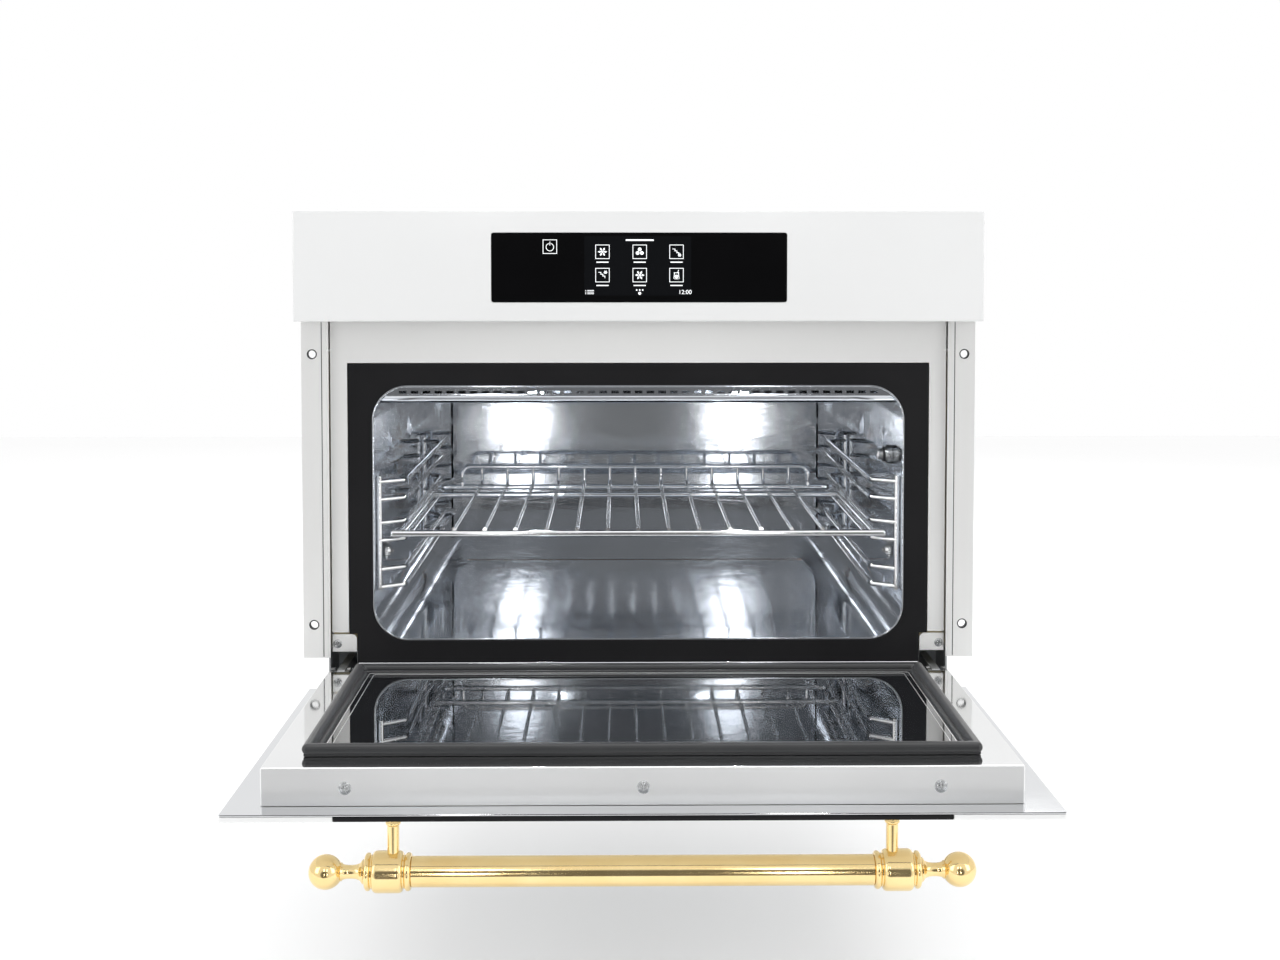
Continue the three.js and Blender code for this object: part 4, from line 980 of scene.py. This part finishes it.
def makeDoor():
    s = {"frontEdge": 0.0009, "stripEdge": 0.0004, "skinEdge": 0.0004, "hingeEdge": 0.0003, "screwSink": 0.0007,
         "screwScale": 1.12, "cup": [(0.0036, 0.0005), (0.0052, -0.0002), (0.0052, -0.0006), (0.0036, -0.0006),
                                     (0.0036, 0.0005)]}
    settle(soften(copyOfNode("door_outer_panel"), s["frontEdge"], 3, 50), "doorFront", "whiteEnamel", "door",
           ["door_outer_panel"])
    settle(soften(copyOfNode("door_edge_strip"), s["stripEdge"], 2), "doorTopStrip", "blackFrame", "door",
           ["door_edge_strip"])
    settle(soften(copyOfNode("door_skin"), s["skinEdge"], 2), "doorSkin", "mirrorSteel", "door", ["door_skin"])
    settle(doorPanPiece(), "doorPan", "panSteel", "door", ["door_inner_box"])
    for place in ("left", "middle", "right"):
        node = "door_screw_" + place
        low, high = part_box(node)
        seat = Vector(((low.x + high.x) / 2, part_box("door_inner_box")[0].y, (low.z + high.z) / 2))
        screw = screwHead(seat + back * s["screwSink"], -back, s["screwScale"])
        settle(screw, "pan" + place.title() + "Screw", "zincSteel", "door", [node])
        settle(turnedPiece(s["cup"], seat, -back, 36), "pan" + place.title() + "Cup", "zincSteel", "door")
    for side, node in sides("hinge_arm"):
        arm = soften(copyOfNode(node), s["hingeEdge"], 1, 45)
        settle(arm, "doorHinge" + sideName(side), "zincSteel", "door", [node])


def doorPanPiece():                        # pressed tray with rounded edges, open towards the skin
    s = {"edge": 0.0012, "wall": 0.0015, "notchX": (0.250, 0.3), "notchDepth": 0.022, "rim": 0.0235}
    low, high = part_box("door_inner_box")
    wall = s["wall"]
    piece = boxPiece(low, high)
    for side in (-1, 1):                   # room for the hinge arms
        x0, x1 = sorted(side * x for x in s["notchX"])
        combine(piece, boxPiece((x0, high.y - s["notchDepth"], low.z - past),
                                (x1, high.y + past, high.z + past)))

    def topOrUpright(edge):
        a, b = ends(piece, edge)
        return min(a.z, b.z) > high.z - near or (b - a).to_2d().length < near

    bevelEdges(piece, topOrUpright, s["edge"], 4)
    return combine(piece, boxPiece((low.x + wall, low.y + wall, low.z - past),
                                   (high.x - wall, high.y - s["rim"], high.z - wall)))


def rectangleRing(low, high, outerInset, innerInset, bottom, top, roundness):
    outer = boxPiece((low.x + outerInset, low.y + outerInset, bottom),
                     (high.x - outerInset, high.y - outerInset, top))
    inner = boxPiece((low.x + innerInset, low.y + innerInset, bottom - past),
                     (high.x - innerInset, high.y - innerInset, top + past))
    return soften(combine(outer, inner), roundness, 6, 50)


def makeGasket():                          # a round bulb on a thin foot, with a folded lip on its inner side
    s = {"bulb": 0.0094, "bulbRound": 0.0040, "bulbStart": 0.0010, "lipWidth": 0.0034, "lipHeight": 0.0044,
         "lipLap": 0.0008, "lipRound": 0.0013, "footInset": 0.0016, "footHeight": 0.0022, "footRound": 0.0004}
    low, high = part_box("door_gasket")
    bulb = rectangleRing(low, high, 0, s["bulb"], low.z + s["bulbStart"], high.z, s["bulbRound"])
    settle(bulb, "doorSeal", "gasketRubber", "door", ["door_gasket"], smooth=50)
    lip = rectangleRing(low, high, s["bulb"] - s["lipLap"], s["bulb"] + s["lipWidth"], low.z,
                        low.z + s["lipHeight"], s["lipRound"])
    settle(lip, "sealLip", "gasketRubber", "door", smooth=50)
    foot = rectangleRing(low, high, s["footInset"], s["bulb"], low.z, low.z + s["footHeight"], s["footRound"])
    settle(foot, "sealFoot", "gasketRubber", "door", smooth=50)


def makeDoorGlass():                       # dark pane with two fine lines along its border
    s = {"corner": 0.003, "innerCorner": 0.0025, "edge": 0.0010, "line": 0.00055, "lineDepth": 0.0004,
         "lineRise": 0.00015, "lines": (("paneLineOuter", 0.0016), ("paneLineInner", 0.0060))}
    low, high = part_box("door_inner_glass")
    pane = roundedPrism(low, high, 2, s["corner"], 6)
    settle(soften(pane, s["edge"], 3, 50), "doorPane", "doorGlass", "door", ["door_inner_glass"])
    for name, inset in s["lines"]:
        outer = roundedPrism((low.x + inset, low.y + inset, high.z - s["lineDepth"]),
                             (high.x - inset, high.y - inset, high.z + s["lineRise"]), 2, s["corner"], 6)
        edge = inset + s["line"]
        inner = roundedPrism((low.x + edge, low.y + edge, high.z - past),
                             (high.x - edge, high.y - edge, high.z + past), 2, s["innerCorner"], 6)
        settle(combine(outer, inner), name, "frontSteel", "door")


def makeHandle():                          # brass bar between two turned barrels with ball ends, on two posts
    s = {"ball": 0.0125, "ballX": 0.230, "ballFoot": 0.0056, "neck": 0.0048, "end": 0.0004, "ringSegments": 8}
    tubeLow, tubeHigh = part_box("handle_tube")
    centre = (tubeLow + tubeHigh) / 2
    at = Vector((0, centre.y, centre.z))
    half = (tubeHigh.x - tubeLow.x) / 2
    radius = (tubeHigh.z - tubeLow.z) / 2
    end = s["end"]
    tube = turnedPiece([(0, -half), (radius - end, -half), (radius, -half + end), (radius, half - end),
                        (radius - end, half), (0, half)], at, right, 96)
    settle(tube, "handleBar", "polishedBrass", "door", ["handle_tube"], smooth=30)
    ringA = arcPoints(0.0024, 0.1701, 20, 160, s["ringSegments"])
    ringB = arcPoints(0.0022, 0.1992, 20, 160, s["ringSegments"])
    barrel = [(0, 0.1678), (0.0112, 0.1678)] + [(0.0112 + r, h) for r, h in ringA] + [
        (0.0118, 0.1726), (0.0118, 0.1736), (0.0132, 0.1739), (0.0143, 0.1748), (0.0149, 0.1762),
        (0.0150, 0.1780), (0.0150, 0.1918), (0.0149, 0.1934), (0.0143, 0.1948), (0.0132, 0.1957),
        (0.0118, 0.1960), (0.0118, 0.1970)] + [(0.0113 + r, h) for r, h in ringB] + [
        (0.0110, 0.2016), (0, 0.2016)]
    ballStart = math.degrees(math.asin(s["ballFoot"] / s["ball"]))
    finial = [(0, 0.2018), (0.0082, 0.2018), (0.0087, 0.2022), (0.0088, 0.2030), (0.0082, 0.2038),
              (0.0068, 0.2046), (0.0058, 0.2060), (0.0051, 0.2080), (s["neck"], 0.2105), (s["neck"], 0.2135),
              (0.0051, 0.2160), (0.0056, 0.2176), (0.0064, 0.2182), (0.0066, 0.2188), (0.0058, 0.2193)]
    finial += arcPoints(s["ball"], s["ballX"], ballStart, 180, 22)
    for side, node in sides("handle_post"):
        name = sideName(side)
        ending = "_" + name.lower()
        settle(turnedPiece(barrel, at, right * side, 72), "handleBarrel" + name, "polishedBrass", "door",
               ["handle_barrel" + ending], smooth=38)
        settle(turnedPiece(finial, at, right * side, 72), "handleFinial" + name, "polishedBrass", "door",
               ["handle_finial" + ending], smooth=38)
        low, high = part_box(node)
        foot = Vector(((low.x + high.x) / 2, (low.y + high.y) / 2, low.z))
        length = high.z - low.z
        post = [(0, 0), (0.00435, 0), (0.00435, 0.0276), (0.0046, 0.0282), (0.0053, 0.0288), (0.0055, 0.0296),
                (0.0053, 0.0304), (0.0046, 0.0310), (0.00435, 0.0316), (0.00435, length - 0.0092),
                (0.0048, length - 0.0080), (0.0056, length - 0.0072), (0.0058, length - 0.0050),
                (0.0056, length - 0.0042), (0.0019, length - 0.0042), (0.0019, length), (0, length)]
        settle(turnedPiece(post, foot, up, 40), "handlePost" + name, "polishedBrass", "door", [node], smooth=38)


def makeCasing():                          # zinc sheets and the screws that hold them
    s = {"sheets": ("base_pan", "top_cover", "back_panel", "side_panel_left", "side_panel_right"),
         "edge": 0.0003, "scale": 1.2, "backX": (-0.262, -0.09, 0.09, 0.262), "backInset": 0.008,
         "topX": 0.270, "topInset": 0.03, "topThick": 0.0017, "sideDrop": 0.012}
    for node in s["sheets"]:
        name = "".join(part.title() for part in node.split("_"))
        settle(soften(copyOfNode(node), s["edge"], 1, 50), "case" + name, "galvanisedSheet", "chassis", [node])
    low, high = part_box("top_cover")
    backLow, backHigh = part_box("back_panel")
    screws = []
    for x in s["backX"]:
        for z in (backHigh.z - s["backInset"], backLow.z + s["backInset"]):
            screws.append(screwHead(Vector((x, backHigh.y, z)), back, s["scale"]))
    for side in (-1, 1):
        for y in (low.y + s["topInset"], (low.y + high.y) / 2, high.y - s["topInset"]):
            onTop = Vector((side * s["topX"], y, low.z + s["topThick"]))
            onSide = Vector((side * high.x, y, low.z - s["sideDrop"]))
            screws += [screwHead(onTop, up, s["scale"]), screwHead(onSide, right * side, s["scale"])]
    settle(joinAll(screws), "caseScrews", "zincSteel", "chassis")


carriedOver = {                            # CAD nodes that stay as they are, with the look each one gets
    "galvanisedSheet": ("machine_deck", "hinge_housing_left", "hinge_housing_right"),
    "foamBoard": ("insulation_jacket", "door_insulation"),
    "copperTube": ("evaporator_coil", "condenser", "discharge_pipe"),
    "stoveBlack": ("compressor", "condenser_fan_motor", "evaporator_fan_motor"),
    "fanPlastic": ("evaporator_fan", "condenser_fan", "power_inlet", "drip_tray"),
    "circuitGreen": ("power_board", "control_board"),
}


def dressCarriedOver():
    for look, names in carriedOver.items():
        for name in names:
            for slot in nodes[name].material_slots:
                slot.material = looks[look].material


bpy.ops.object.select_all(action="DESELECT")
makeCamera()
makeLight()
makeFloor()
print("stage: camera, light and floor")
makeMetals()
panLook()
galvanisedLook()
makePlainLooks()
print("stage: materials")
makeFascia()
makeDisplay()
makeFront()
makeCavityFrame()
makeThreshold()
makeHingeCovers()
print("stage: front")
makeCavity()
makeWallFittings()
makeRearCover()
makeDuct()
makeRack()
makeGuides()
makeNuts()
makeProbeSocket()
print("stage: cavity")
makeDoor()
makeGasket()
makeDoorGlass()
makeHandle()
print("stage: door")
makeCasing()
dressCarriedOver()
print("stage: casing")
